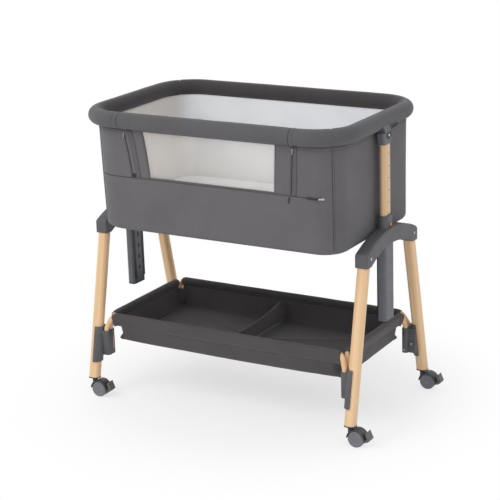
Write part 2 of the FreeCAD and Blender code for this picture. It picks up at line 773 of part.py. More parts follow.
def mesh_window():
    middle_y = -wall_half_width + wall_thickness / 2
    return box((window_left + soft_gap, middle_y - window_thickness / 2, window_bottom_z + soft_gap),
               (window_right - soft_gap, middle_y + window_thickness / 2, window_top_z - soft_gap))


def zip_sliders():
    """Sliders at the tops of the two side zips."""
    wide, deep, tall = slider_size
    top_z = window_top_z
    face_y = -wall_half_width - soft_gap
    x = drop_half_length - drop_gap
    right = box((x - wide, face_y - deep, top_z - tall), (x, face_y, top_z))
    return group([right, mirrored_x(right)])


# ---------------------------------------------------------------- casters
def caster_wheels():
    """Twin wheels on their axle, one turned piece."""
    outer = wheel_inner_y + wheel_thickness
    points = [(0, -outer), (wheel_radius, -outer),
              (wheel_radius, -wheel_inner_y), (axle_radius, -wheel_inner_y),
              (axle_radius, wheel_inner_y), (wheel_radius, wheel_inner_y),
              (wheel_radius, outer), (0, outer)]
    corners = [Vector(x, y, 0) for x, y in points]
    section = Part.Face(Part.makePolygon(corners + corners[:1]))
    wheels = section.revolve(Vector(0, 0, 0), Vector(0, 1, 0), 360)
    wheels.translate(Vector(wheel_trail, 0, wheel_z))
    return wheels


def ring_sector(inner, outer, start, end, half_width):
    """Part of a ring round the wheel axle, between two angles in the XZ plane."""
    def spot(radius, angle):
        turn = math.radians(angle)
        return Vector(wheel_trail + radius * math.cos(turn), -half_width, wheel_z + radius * math.sin(turn))
    middle = (start + end) / 2
    edges = [Part.Arc(spot(outer, start), spot(outer, middle), spot(outer, end)).toShape(),
             Part.makeLine(spot(outer, end), spot(inner, end)),
             Part.Arc(spot(inner, end), spot(inner, middle), spot(inner, start)).toShape(),
             Part.makeLine(spot(inner, start), spot(outer, start))]
    return Part.Face(Part.Wire(edges)).extrude(Vector(0, 2 * half_width, 0))


def caster_housing():
    """Hooded caster body: fender over both wheels, web between them, stem and pedal lug."""
    inner = wheel_radius + fender_gap
    outer = inner + fender_wall
    hood = ring_sector(inner, outer, fender_start, fender_end, wheel_inner_y + wheel_thickness)
    boss_top = plug_bottom_z - boss_gap
    boss = cylinder(boss_radius, (0, 0, wheel_z + 2 * fender_wall), (0, 0, boss_top))
    room = cylinder(inner, (wheel_trail, -wheel_radius, wheel_z), (wheel_trail, wheel_radius, wheel_z))
    boss = boss.cut(room)
    stem = cylinder(stem_radius, (0, 0, boss_top - 1), (0, 0, stem_top_z))
    reach = inner + fender_wall / 2
    pivot_x, pivot_z = pedal_pivot
    lug_x = pivot_x + pedal_arm
    outline = [(wheel_trail - reach, wheel_z + 2 * fender_wall), (wheel_trail, wheel_z - hub_drop),
               (pivot_x, pivot_z - 1.5 * pedal_arm), (lug_x, pivot_z - pedal_arm / 2),
               (lug_x, pivot_z + pedal_arm / 2)]
    outline += [(wheel_trail + reach * x, wheel_z + reach * z) for x, z in web_corners]
    web = outline_xz(outline, -web_half, web_half)
    body = hood.fuse([boss, stem, web]).removeSplitter()
    axle_bore = cylinder(axle_radius + running_fit, (wheel_trail, -web_half, wheel_z),
                         (wheel_trail, web_half, wheel_z))
    pin_bore = cylinder(pedal_pin_radius + running_fit, (pivot_x, -web_half, pivot_z),
                        (pivot_x, web_half, pivot_z))
    return body.cut(axle_bore).cut(pin_bore)


def brake_pedal():
    """Brake pedal: a slanted paddle on two arms with a pin through the housing's lug."""
    pivot_x, pivot_z = pedal_pivot
    paddle = outline_xz([(pivot_x + x, pivot_z + z) for x, z in paddle_outline],
                        -pedal_half_width, pedal_half_width)
    inner_y = web_half + pedal_side_gap
    arm = outline_xz([(pivot_x + x, pivot_z + z) for x, z in pedal_arm_outline],
                     inner_y, inner_y + pedal_arm)
    pin = cylinder(pedal_pin_radius, (pivot_x, -inner_y - 1, pivot_z), (pivot_x, inner_y + 1, pivot_z))
    return paddle.fuse(arm).fuse(mirrored_y(arm)).fuse(pin).removeSplitter()


# ---------------------------------------------------------------- build
os.makedirs("parts", exist_ok=True)

quarters = (("rear_right", 1, 1), ("front_right", 1, -1), ("rear_left", -1, 1), ("front_left", -1, -1))


def quarter_copy(shape, sign_x, sign_y):
    """Copy of a piece of the quarter x > 0, y > 0 in another quarter."""
    if sign_x < 0:
        shape = mirrored_x(shape)
    if sign_y < 0:
        shape = mirrored_y(shape)
    return shape


def four_copies(shape):
    return [quarter_copy(shape, sign_x, sign_y) for _, sign_x, sign_y in quarters]


one_leg = leg()
one_bracket = bracket()
for place, sign_x, sign_y in quarters:
    save(place + "_leg", quarter_copy(one_leg, sign_x, sign_y))
    save(place + "_bracket", quarter_copy(one_bracket, sign_x, sign_y))
save("leg_end_plugs", group(four_copies(leg_plug())))

right_pieces = {
    "arch": arch(),
    "post": post(),
    "upright": upright(),
    "button": button(),
}
for kind, shape in right_pieces.items():
    save("right_" + kind, shape)
    save("left_" + kind, mirrored_x(shape))
save("right_cap", cap(rim_tube_radius + hook_play))
save("left_cap", mirrored_x(cap(rim_tube_radius + running_fit)))
end_cap = post_end_cap()
save("post_end_caps", group([end_cap, mirrored_x(end_cap)]))

long_tube = rod_along(long_tube_run(), basket_tube_radius)
end_tube = rod_along(end_tube_run(), basket_tube_radius)
save("basket_rear_tube", long_tube)
save("basket_front_tube", mirrored_y(long_tube))
save("basket_right_tube", end_tube)
save("basket_left_tube", mirrored_x(end_tube))
save("storage_basket", storage_basket())
save("basket_divider", basket_divider())

save("rim_tube", rim_tube())
one_plug = rim_end_plug()
save("rim_end_plugs", group([one_plug, mirrored_x(one_plug)]))
save("rim_padding", rim_padding())
save("outer_skirt", outer_skirt())
save("inner_lining", inner_lining())
save("base_board", base_board())
save("mattress", mattress())
save("seam_zip_pulls", seam_pulls())

save("drop_rail_tube", drop_rail_tube())
one_saddle = rail_saddle()
save("drop_rail_saddles", group([one_saddle, mirrored_x(one_saddle)]))
save("drop_rail_padding", drop_rail_padding())
save("drop_panel", drop_panel())
save("mesh_window", mesh_window())
save("side_zip_sliders", zip_sliders())

caster_pieces = {
    "housing": caster_housing(),
    "wheels": caster_wheels(),
    "pedal": brake_pedal(),
}
for place, sign_x, sign_y in quarters:
    for kind, shape in caster_pieces.items():
        piece = shape.copy()
        piece.translate(Vector(sign_x * leg_x, sign_y * foot_y, 0))
        save(place + "_caster_" + kind, piece)
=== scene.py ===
import contextlib
import math

import bmesh
import bpy
from mathutils import Matrix, Vector, noise


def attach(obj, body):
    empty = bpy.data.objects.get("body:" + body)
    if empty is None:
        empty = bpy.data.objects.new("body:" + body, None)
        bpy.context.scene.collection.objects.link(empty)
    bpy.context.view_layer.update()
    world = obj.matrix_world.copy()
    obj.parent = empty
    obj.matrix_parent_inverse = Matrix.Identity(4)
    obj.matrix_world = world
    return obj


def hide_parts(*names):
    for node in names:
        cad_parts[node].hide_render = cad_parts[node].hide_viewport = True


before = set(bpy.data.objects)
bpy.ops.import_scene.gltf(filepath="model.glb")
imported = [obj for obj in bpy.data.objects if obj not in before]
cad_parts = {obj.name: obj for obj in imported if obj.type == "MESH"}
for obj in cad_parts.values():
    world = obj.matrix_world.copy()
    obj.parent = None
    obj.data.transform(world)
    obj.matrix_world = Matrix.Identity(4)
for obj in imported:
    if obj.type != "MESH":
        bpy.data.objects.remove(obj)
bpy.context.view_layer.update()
scene = bpy.context.scene
scene.view_settings.view_transform = "Standard"
print("frame loaded,", len(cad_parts), "nodes")

# metres, the frame's own axes: floor at z 0, drop side towards -Y
view = {
    "azimuth": 30.67,
    "elevation": 16.73,
    "roll": -1.87,
    "lens": 115.09,
    "sensor": 36.0,
    "distance": 4.9655,
    "target": (-0.01587, 0.0, 0.4643),
}


def wobble(x, y, z):
    # smooth noise between -1 and 1, the same each run
    return noise.noise(Vector((x, y, z)))


def link(name, data):
    made = bpy.data.objects.new(name, data)
    scene.collection.objects.link(made)
    return made


def makeCamera():
    turn, rise, roll = (math.radians(view[key]) for key in ("azimuth", "elevation", "roll"))
    back = Vector((math.sin(turn) * math.cos(rise), -math.cos(turn) * math.cos(rise), math.sin(rise)))
    right = Vector((math.cos(turn), math.sin(turn), 0))
    up = back.cross(right)
    level = right * math.cos(roll) + up * math.sin(roll)
    upright = up * math.cos(roll) - right * math.sin(roll)
    data = bpy.data.cameras.new("view")
    data.lens = view["lens"]
    data.sensor_width = view["sensor"]
    data.clip_end = 60
    camera = link("view", data)
    place = Matrix((level, upright, back)).transposed().to_4x4()
    place.translation = Vector(view["target"]) + back * view["distance"]
    camera.matrix_world = place
    scene.camera = camera


class Value:
    # an output socket; arithmetic on it adds Math nodes
    def __init__(self, graph, socket):
        self.graph = graph
        self.socket = socket

    def pick(self, name):
        return Value(self.graph, self.socket.node.outputs[name])

    def do(self, operation, *others):
        spots = dict(enumerate((self,) + others))
        return self.graph.node("ShaderNodeMath", {"operation": operation}, spots)

    def __add__(self, other):
        return self.do("ADD", other)

    def __sub__(self, other):
        return self.do("SUBTRACT", other)

    def __rsub__(self, other):
        return self.graph.node("ShaderNodeMath", {"operation": "SUBTRACT"}, {0: other, 1: self})

    def __mul__(self, other):
        return self.do("MULTIPLY", other)

    __radd__ = __add__
    __rmul__ = __mul__

    def wave(self, length):
        # sine of a distance, one turn for each length
        return (self * (2 * math.pi / length)).do("SINE")

    def ramp(self, start, end, low=0.0, high=1.0):
        spots = {"Value": self, "From Min": start, "From Max": end, "To Min": low, "To Max": high}
        return self.graph.node("ShaderNodeMapRange", {"interpolation_type": "SMOOTHSTEP"}, spots)


class Graph:
    # a node tree being built
    def __init__(self, tree):
        self.tree = tree

    def node(self, kind, settings=None, values=None, output=0):
        made = self.tree.nodes.new(kind)
        for name, setting in (settings or {}).items():
            setattr(made, name, setting)
        for spot, value in (values or {}).items():
            socket = made.inputs[spot]
            if isinstance(value, Value):
                self.tree.links.new(value.socket, socket)
            else:
                socket.default_value = value
        return Value(self, made.outputs[output])


class Paint(Graph):
    # a material being built
    def __init__(self, name):
        self.material = bpy.data.materials.new(name)
        self.material.use_nodes = True
        super().__init__(self.material.node_tree)
        self.tree.nodes.clear()

    def place(self, source="Object", scale=(1, 1, 1), turn=(0, 0, 0)):
        spot = self.node("ShaderNodeTexCoord", output=source)
        turns = [math.radians(angle) for angle in turn]
        return self.node("ShaderNodeMapping", values={"Vector": spot, "Scale": scale, "Rotation": turns})

    def noise(self, place, scale, detail=2.0, rough=0.5):
        spots = {"Vector": place, "Scale": scale, "Detail": detail, "Roughness": rough}
        return self.node("ShaderNodeTexNoise", values=spots)

    def grain(self, place, scale, detail=2.0, rough=0.5):
        # noise drawn out to its own length along each axis
        stretched = self.node("ShaderNodeMapping", values={"Vector": place, "Scale": scale})
        return self.noise(stretched, 1.0, detail, rough)

    def mix(self, share, first, second):
        return self.node("ShaderNodeMix", {"data_type": "RGBA"}, {0: share, 6: first, 7: second}, output=2)

    def bump(self, height, depth, strength=1.0):
        return self.node("ShaderNodeBump", values={"Height": height, "Distance": depth, "Strength": strength})

    def surface(self, **values):
        spots = {name.replace("_", " "): value for name, value in values.items()}
        return self.node("ShaderNodeBsdfPrincipled", values=spots)

    def finish(self, shader):
        end = self.tree.nodes.new("ShaderNodeOutputMaterial")
        self.tree.links.new(shader.socket, end.inputs["Surface"])
        return self.material


def tone(red, green, blue):
    # a colour as it looks on screen, 0 to 255, made linear
    parts = [channel / 255 for channel in (red, green, blue)]
    return tuple(c / 12.92 if c < 0.04045 else ((c + 0.055) / 1.055) ** 2.4 for c in parts) + (1.0,)


def darker(colour, share):
    return tuple(channel * share for channel in colour[:3]) + (1.0,)


def clothPaint(name, dark, light, source="UV", thread=0.0009, depth=0.00012, sheen=0.15, inner=None):
    # woven cloth: threads both ways, flecks of lighter yarn, slow changes of tone
    paint = Paint(name)
    spot = paint.place(source)
    parts = paint.node("ShaderNodeSeparateXYZ", values={"Vector": spot})
    threads = parts.pick("X").wave(thread) + parts.pick("Y").wave(thread * 1.08)
    if source == "Object":
        threads = threads + parts.pick("Z").wave(thread)
    along = paint.noise(paint.place(source, (140, 1100, 700)), 1.0, 2.0)
    across = paint.noise(paint.place(source, (1100, 140, 400)), 1.0, 2.0)
    fleck = ((along + across) * 0.5).ramp(0.3, 0.72)
    slow = paint.noise(spot, 7.0, 3.0)
    colour = paint.mix(fleck, dark, light)
    # a second pair of tones where the inner attribute is set: the rim's dark inner side, and painted shade on
    # the lining's left end
    if inner:
        side = paint.node("ShaderNodeAttribute", {"attribute_name": "inner"}, output="Fac")
        colour = paint.mix(side, colour, paint.mix(fleck, *inner))
    colour = paint.mix(slow.ramp(0.4, 0.8) * 0.4, colour, darker(dark, 0.88))
    shader = paint.surface(Base_Color=colour, Roughness=fleck * 0.08 + slow * 0.1 + 0.8, Sheen_Weight=sheen,
                           Sheen_Roughness=0.5, Specular_IOR_Level=0.25,
                           Normal=paint.bump(threads * 0.3 + fleck * 0.5, depth, 0.8))
    return paint.finish(shader)


def woodPaint(name, lean=0.0, base=(222, 184, 141), pale=(233, 199, 158), vein=(203, 159, 114)):
    # printed wood grain that runs up the tube
    paint = Paint(name)
    turned = paint.place("Object", (1, 1, 1), (lean, 0, 0))
    broad = paint.grain(turned, (70, 70, 0.7), 1.0, 0.4)
    fine = paint.grain(turned, (330, 330, 1.8), 3.0)
    pores = paint.grain(turned, (900, 900, 12), 1.0)
    pits = pores.ramp(0.62, 0.74)
    colour = paint.mix(broad.ramp(0.32, 0.68), tone(*base), tone(*pale))
    colour = paint.mix(fine.ramp(0.48, 0.75) * 0.6, colour, tone(*vein))
    colour = paint.mix(pits * 0.2, colour, tone(*vein))
    shader = paint.surface(Base_Color=colour, Roughness=broad * 0.1 + 0.26, Specular_IOR_Level=0.4,
                           Normal=paint.bump(fine * 0.6 - pits * 0.5, 0.00008, 0.3))
    return paint.finish(shader)


def plasticPaint(name, colour, rough=0.5, grain=0.00006, drift=0.07):
    # moulded plastic with a fine spark-eroded grain
    paint = Paint(name)
    spot = paint.place()
    fine = paint.noise(spot, 1500, 2.0)
    wear = paint.noise(spot, 22, 4.0, 0.6)
    shade = paint.mix(wear.ramp(0.35, 0.7), colour, darker(colour, 1 - drift * 2))
    shader = paint.surface(Base_Color=shade, Roughness=wear * 0.14 + fine * 0.08 + (rough - 0.11),
                           Normal=paint.bump(fine, grain, 0.5), Specular_IOR_Level=0.4)
    return paint.finish(shader)


def metalPaint(name, colour, rough=0.3, metallic=1.0):
    # turned or plated metal with faint rub marks
    paint = Paint(name)
    spot = paint.place()
    rub = paint.noise(paint.place("Object", (160, 160, 1400)), 1.0, 2.0)
    cloud = paint.noise(spot, 60, 3.0)
    shade = paint.mix(cloud.ramp(0.4, 0.75), colour, darker(colour, 0.72))
    shader = paint.surface(Base_Color=shade, Metallic=metallic, Roughness=rub * 0.12 + cloud * 0.1 + rough,
                           Normal=paint.bump(rub, 0.00004, 0.4))
    return paint.finish(shader)


def netPaint(name, colour, pitch=0.0016, thick=0.3):
    # knitted net: round holes in rows, each row half a pitch on
    paint = Paint(name)
    parts = paint.node("ShaderNodeSeparateXYZ", values={"Vector": paint.place("UV")})
    u, v = parts.pick("X"), parts.pick("Y")
    cells = u.wave(pitch) + (u * 0.5 + v * 0.866).wave(pitch) + (u * 0.5 - v * 0.866).wave(pitch)
    hole = cells.ramp(thick - 1.7, thick - 0.7)
    slow = paint.noise(paint.place("UV"), 9.0, 3.0)
    shade = paint.mix(slow.ramp(0.35, 0.7), colour, darker(colour, 0.9))
    shader = paint.surface(Base_Color=shade, Roughness=slow * 0.1 + 0.75, Alpha=1 - hole * 0.92,
                           Normal=paint.bump(cells, 0.0002, 0.4), Sheen_Weight=0.1)
    return paint.finish(shader)


def floorPaint():
    # pale floor that keeps the object's shadow and ends in white
    paint = Paint("floorPaint")
    spot = paint.place()
    away = paint.node("ShaderNodeVectorMath", {"operation": "LENGTH"}, {0: spot}, output="Value")
    grain = paint.noise(spot, 30, 3.0)
    plain = paint.surface(Base_Color=paint.mix(grain, (0.93, 0.93, 0.93, 1), (0.95, 0.95, 0.95, 1)),
                          Roughness=grain * 0.1 + 0.85, Specular_IOR_Level=0.1)
    white = paint.node("ShaderNodeEmission", values={"Color": (1, 1, 1, 1), "Strength": 1.0})
    path = paint.node("ShaderNodeLightPath")
    seen = path + path.pick("Is Glossy Ray") + path.pick("Is Transmission Ray")
    share = away.ramp(0.35, 0.88, 0.60, 1.0) * seen
    return paint.finish(paint.node("ShaderNodeMixShader", values={0: share, 1: plain, 2: white}))


lights = {
    "floor": 9.0,      # half the floor's width
    "aim": (0, 0, 0.5),
    "ambient": 0.8,
    "key": {"place": (-1.7, -2.8, 3.4), "size": 2.6, "power": 60.0},
    "fill": {"place": (3.2, -2.2, 2.0), "size": 2.4, "power": 10.0},
}


def makeStage():
    mesh = bpy.data.meshes.new("floor")
    reach = lights["floor"]
    mesh.from_pydata([(-reach, -reach, 0), (reach, -reach, 0), (reach, reach, 0), (-reach, reach, 0)], [],
                     [(0, 1, 2, 3)])
    mesh.materials.append(floorPaint())
    floor = link("floor", mesh)
    world = bpy.data.worlds.new("studio")
    world.use_nodes = True
    scene.world = world
    graph = Graph(world.node_tree)
    world.node_tree.nodes.clear()
    path = graph.node("ShaderNodeLightPath")
    seen = (path + path.pick("Is Glossy Ray") + path.pick("Is Transmission Ray")).do("MINIMUM", 1.0)
    level = seen * (1.0 - lights["ambient"]) + lights["ambient"]
    sky = graph.node("ShaderNodeBackground", values={"Color": (1, 1, 1, 1), "Strength": level})
    end = world.node_tree.nodes.new("ShaderNodeOutputWorld")
    world.node_tree.links.new(sky.socket, end.inputs["Surface"])
    for name in ("key", "fill"):
        facts = lights[name]
        data = bpy.data.lights.new(name, "AREA")
        data.shape = "DISK"
        data.size = facts["size"]
        data.energy = facts["power"]
        lamp = link(name, data)
        lamp.location = facts["place"]
        lamp.rotation_euler = (Vector(lights["aim"]) - lamp.location).to_track_quat("-Z", "Y").to_euler()


makeCamera()
makeStage()
print("camera, lights and floor made")

greyDark, greyLight = tone(90, 88, 91), tone(108, 106, 109)
paints = {
    "walls": clothPaint("wallCloth", greyDark, greyLight),
    "rim": clothPaint("rimCloth", tone(80, 79, 82), tone(97, 96, 99), "UV",
                      inner=(tone(56, 53, 54), tone(70, 67, 68))),
    # the lining's second pair of tones is painted shade for its left end
    "lining": clothPaint("liningKnit", tone(230, 232, 235), tone(243, 244, 246), thread=0.0012, sheen=0.05,
                         inner=(tone(208, 202, 197), tone(224, 219, 214))),
    "mattress": clothPaint("mattressKnit", tone(214, 215, 217), tone(238, 239, 240), "Object", 0.0016,
                           sheen=0.05),
    "net": netPaint("windowNet", tone(224, 218, 211)),
    "basket": clothPaint("basketCloth", tone(68, 65, 66), tone(86, 83, 85), thread=0.0011),
    "wood": woodPaint("woodTube"),
    "woodFront": woodPaint("woodLegFront", 12.2),
    "woodRear": woodPaint("woodLegRear", -12.2),
    "grey": plasticPaint("greyPlastic", tone(88, 88, 92)),
    "post": plasticPaint("postEnamel", tone(96, 98, 103), 0.42, 0.00004),
    "cap": plasticPaint("capPlastic", tone(98, 100, 107)),
    "dark": plasticPaint("darkPlastic", tone(38, 37, 38)),
    "wheel": plasticPaint("wheelPlastic", tone(118, 118, 126), 0.5),
    "hood": plasticPaint("hoodPlastic", tone(70, 68, 70), 0.45),
    "pedal": plasticPaint("pedalPlastic", tone(98, 96, 96), 0.45),
    "steel": metalPaint("screwSteel", tone(205, 205, 208), 0.25),
    "rod": metalPaint("rimRod", tone(150, 150, 152), 0.35),
    "copper": metalPaint("copperButton", tone(192, 134, 88), 0.4),
    "board": plasticPaint("boardFibre", tone(150, 120, 88), 0.7, 0.0002, 0.12),
    "thread": clothPaint("stitchThread", tone(62, 56, 58), tone(76, 69, 71), "Object", 0.0006),
    "tape": clothPaint("zipTape", tone(85, 80, 83), tone(103, 98, 101), thread=0.0007),
    "zip": plasticPaint("zipCoil", tone(68, 62, 64), 0.4),
    "divider": clothPaint("dividerCloth", tone(80, 76, 77), tone(98, 94, 95), thread=0.0011),
    "upright": woodPaint("woodUpright", base=(206, 171, 132), pale=(223, 191, 153), vein=(180, 142, 104)),
}


def make(name, mesh, material=None, body=None):
    # a finished piece: named, painted and riding on its body
    piece = link(name, mesh)
    mesh.name = name
    if material:
        mesh.materials.clear()
        mesh.materials.append(material)
    if body:
        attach(piece, body)
    return piece


def shadeSmooth(mesh, angle=None):
    mesh.shade_smooth()
    if angle:
        mesh.set_sharp_from_angle(angle=math.radians(angle))
    return mesh


@contextlib.contextmanager
def editing(mesh):
    # the mesh as a bmesh, written back at the end
    edit = bmesh.new()
    edit.from_mesh(mesh)
    yield edit
    edit.to_mesh(mesh)
    edit.free()


def clothMesh(name, columns, rows, place, skip=None, closed=None):
    # a sheet over columns and rows; place gives each point and its spot on the cloth, in metres
    grid = [[place(column, row) for row in rows] for column in columns]
    points = [spot[0] for line in grid for spot in line]
    deep = len(rows)
    count = len(columns)
    faces, spots = [], []
    for i in range(count if closed else count - 1):
        for j in range(deep - 1):
            if skip and skip(columns[i], columns[(i + 1) % count], rows[j], rows[j + 1]):
                continue
            corners = [(i, j), ((i + 1) % count, j), ((i + 1) % count, j + 1), (i, j + 1)]
            faces.append([a * deep + b for a, b in corners])
            for spot, (a, b) in enumerate(corners):
                u, v = grid[a][b][1]
                wrapped = closed and i == count - 1 and spot in (1, 2)
                spots.append((u + closed if wrapped else u, v))
    mesh = bpy.data.meshes.new(name)
    mesh.from_pydata(points, [], faces)
    layer = mesh.uv_layers.new(name="UVMap")
    for loop, spot in zip(layer.data, spots):
        loop.uv = spot
    with editing(mesh) as edit:
        loose = [vertex for vertex in edit.verts if not vertex.link_faces]
        bmesh.ops.delete(edit, geom=loose, context="VERTS")
    return shadeSmooth(mesh)


def closeMiddle(mesh, reach=None, outward=True):
    # fills a skin's openings, or with a reach only the one in its middle, which takes its cloth from above
    with editing(mesh) as edit:
        gap = [edge for edge in edit.edges if edge.is_boundary
               and (reach is None or edge.verts[0].co.xy.length < reach)]
        if reach is None:
            bmesh.ops.holes_fill(edit, edges=gap)
        else:
            bmesh.ops.contextual_create(edit, geom=gap)
            layer = edit.loops.layers.uv.active
            for loop in (loop for face in edit.faces for loop in face.loops):
                loop[layer].uv = loop.vert.co.xy
        if outward:
            bmesh.ops.recalc_face_normals(edit, faces=edit.faces)
    return mesh


def plain(piece):
    # the piece with its modifiers worked in
    graph = bpy.context.evaluated_depsgraph_get()
    mesh = bpy.data.meshes.new_from_object(piece.evaluated_get(graph))
    piece.modifiers.clear()
    piece.data = mesh
    mesh.name = piece.name
    return piece


def thicken(piece, depth, offset=-1.0, lining=0):
    solid = piece.modifiers.new("thickness", "SOLIDIFY")
    solid.thickness = depth
    solid.offset = offset
    solid.use_even_offset = True
    solid.material_offset = lining
    return plain(piece)


def hang(name, mesh, material, thick, body, slot, stands=(), offset=-1.0, back=None, **facts):
    # a finished cloth: painted, thickened and riding on its body
    cloth = make(name, mesh, paints[material])
    if back:
        mesh.materials.append(paints[back])
    thicken(cloth, thick, offset, 1 if back else 0)
    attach(cloth, body)
    if stands:
        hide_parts(*stands)
    return cloth


def dress(piece, material, body, node):
    # paint and place for a piece made of several steps
    piece.data.materials.clear()
    piece.data.materials.append(paints[material])
    shadeSmooth(piece.data)
    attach(piece, body)
    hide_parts(node)


def join(name, pieces):
    # several unparented objects as one, the first one's materials first
    with bpy.context.temp_override(active_object=pieces[0], selected_editable_objects=pieces):
        bpy.ops.object.join()
    pieces[0].name = name
    pieces[0].data.name = name
    return pieces[0]


def geometryTree(name, inputs):
    tree = bpy.data.node_groups.new(name, "GeometryNodeTree")
    for title, kind in inputs:
        tree.interface.new_socket(name=title, in_out="INPUT", socket_type=kind)
    tree.interface.new_socket(name="Pieces", in_out="OUTPUT", socket_type="NodeSocketGeometry")
    return tree


def endTree(graph, geometry, entry):
    real = graph.node("GeometryNodeRealizeInstances", values={"Geometry": geometry})
    painted = graph.node("GeometryNodeSetMaterial",
                         values={"Geometry": real, "Material": entry.pick("Material")})
    end = graph.tree.nodes.new("NodeGroupOutput")
    graph.tree.links.new(painted.socket, end.inputs[0])
    return graph.tree


def repeatTree():
    # shapes set along a path at one spacing, upright on the surface under it
    tree = geometryTree("repeatAlongPath", (
        ("Path", "NodeSocketGeometry"), ("Shape", "NodeSocketObject"), ("Spacing", "NodeSocketFloat"),
        ("Unevenness", "NodeSocketFloat"), ("Seed", "NodeSocketInt"), ("Material", "NodeSocketMaterial")))
    graph = Graph(tree)
    entry = graph.node("NodeGroupInput")
    curve = graph.node("GeometryNodeMeshToCurve", values={"Mesh": entry.pick("Path")})
    spots = graph.node("GeometryNodeCurveToPoints", {"mode": "LENGTH"},
                       {"Curve": curve, "Length": entry.pick("Spacing")})
    outward = graph.node("GeometryNodeInputNamedAttribute", {"data_type": "FLOAT_VECTOR"}, {"Name": "out"})
    facing = graph.node("FunctionNodeAlignRotationToVector", {"axis": "X"}, {"Vector": spots.pick("Tangent")})
    facing = graph.node("FunctionNodeAlignRotationToVector", {"axis": "Z", "pivot_axis": "X"},
                        {"Rotation": facing, "Vector": outward})
    uneven = entry.pick("Unevenness")
    size = graph.node("FunctionNodeRandomValue", {"data_type": "FLOAT"},
                      {2: 1 - uneven, 3: uneven + 1, "Seed": entry.pick("Seed")}, output=1)
    shape = graph.node("GeometryNodeObjectInfo", values={"Object": entry.pick("Shape")}, output="Geometry")
    placed = graph.node("GeometryNodeInstanceOnPoints",
                        values={"Points": spots, "Instance": shape, "Rotation": facing, "Scale": size})
    return endTree(graph, placed, entry)


def scatterTree():
    # one shape on every point of a mesh, turned to the way it looks out
    tree = geometryTree("shapeOnPoints", (
        ("Spots", "NodeSocketGeometry"), ("Shape", "NodeSocketObject"), ("Seed", "NodeSocketInt"),
        ("Material", "NodeSocketMaterial")))
    graph = Graph(tree)
    entry = graph.node("NodeGroupInput")
    outward = graph.node("GeometryNodeInputNamedAttribute", {"data_type": "FLOAT_VECTOR"}, {"Name": "out"})
    facing = graph.node("FunctionNodeAlignRotationToVector", {"axis": "Z"}, {"Vector": outward})
    spin = graph.node("FunctionNodeRandomValue", {"data_type": "FLOAT"},
                      {2: 0.0, 3: 1.5, "Seed": entry.pick("Seed")}, output=1)
    own = graph.node("FunctionNodeAxisAngleToRotation", values={"Axis": (0, 0, 1), "Angle": spin})
    facing = graph.node("FunctionNodeRotateRotation", {"rotation_space": "LOCAL"},
                        {"Rotation": facing, "Rotate By": own})
    shape = graph.node("GeometryNodeObjectInfo", values={"Object": entry.pick("Shape")}, output="Geometry")
    placed = graph.node("GeometryNodeInstanceOnPoints",
                        values={"Points": entry.pick("Spots"), "Instance": shape, "Rotation": facing})
    return endTree(graph, placed, entry)


def pipeTree():
    # a round bar along a path, its corners bent to one radius
    tree = geometryTree("barAlongPath", (
        ("Path", "NodeSocketGeometry"), ("Thickness", "NodeSocketFloat"), ("Bend", "NodeSocketFloat"),
        ("Sides", "NodeSocketInt"), ("Material", "NodeSocketMaterial")))
    graph = Graph(tree)
    entry = graph.node("NodeGroupInput")
    curve = graph.node("GeometryNodeMeshToCurve", values={"Mesh": entry.pick("Path")})
    bent = graph.node("GeometryNodeFilletCurve", {"mode": "POLY"},
                      {"Curve": curve, "Count": 9, "Radius": entry.pick("Bend"), "Limit Radius": True})
    ring = graph.node("GeometryNodeCurvePrimitiveCircle",
                      values={"Resolution": entry.pick("Sides"), "Radius": entry.pick("Thickness") * 0.5})
    bar = graph.node("GeometryNodeCurveToMesh",
                     values={"Curve": bent, "Profile Curve": ring, "Fill Caps": True})
    return endTree(graph, bar, entry)


trees = {"repeat": repeatTree(), "scatter": scatterTree(), "pipe": pipeTree()}


def track(points, outs=None, closed=False):
    # a path or a set of points as a mesh, with the way the surface looks out
    mesh = bpy.data.meshes.new("track")
    edges = [(i, i + 1) for i in range(len(points) - 1)] + ([(len(points) - 1, 0)] if closed else [])
    mesh.from_pydata(points, edges, [])
    looks = mesh.attributes.new("out", "FLOAT_VECTOR", "POINT")
    for spot, out in zip(looks.data, outs or [(0, 0, 1)] * len(points)):
        spot.vector = out
    return mesh


def grow(name, tree, path, body, slot, angle=40, **inputs):
    # runs a geometry tree over a track and keeps the result as a plain mesh
    source = link(name, path)
    nodes = source.modifiers.new("nodes", "NODES")
    nodes.node_group = trees[tree]
    for item in trees[tree].interface.items_tree:
        key = item.name.lower()
        if item.in_out == "INPUT" and key in inputs:
            nodes[item.identifier] = inputs[key]
    source.update_tag()
    plain(source)
    shadeSmooth(source.data, angle)
    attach(source, body)
    return source


def pipe(name, points, body, slot, material, thickness, bend=0.0, sides=10):
    return grow(name, "pipe", track(points), body, slot, thickness=thickness, bend=bend, sides=sides,
                material=paints[material])


def ringMesh(name, rings):
    # a skin over rings of the same count, capped at both ends
    size = len(rings[0])
    points = [point for ring in rings for point in ring]
    faces = []
    for row in range(len(rings) - 1):
        for side in range(size):
            below, following = row * size, (side + 1) % size
            faces.append([below + side, below + following, below + size + following, below + size + side])
    faces += [list(range(size))[::-1], list(range(len(points) - size, len(points)))]
    mesh = bpy.data.meshes.new(name)
    mesh.from_pydata(points, [], faces)
    with editing(mesh) as edit:
        bmesh.ops.recalc_face_normals(edit, faces=edit.faces)
    return mesh


def turned(name, profile, sides=24):
    # a turned shape about Z from (radius, height); a third value gives that ring flats instead of a round
    rings = []
    for radius, height, *flats in profile:
        ring = []
        for side in range(sides):
            angle = 2 * math.pi * side / sides
            reach = radius
            if flats:
                span = 2 * math.pi / flats[0]
                reach = radius * math.cos(span / 2) / math.cos(angle % span - span / 2)
            ring.append(Vector((reach * math.cos(angle), reach * math.sin(angle), height)))
        rings.append(ring)
    return ringMesh(name, rings)


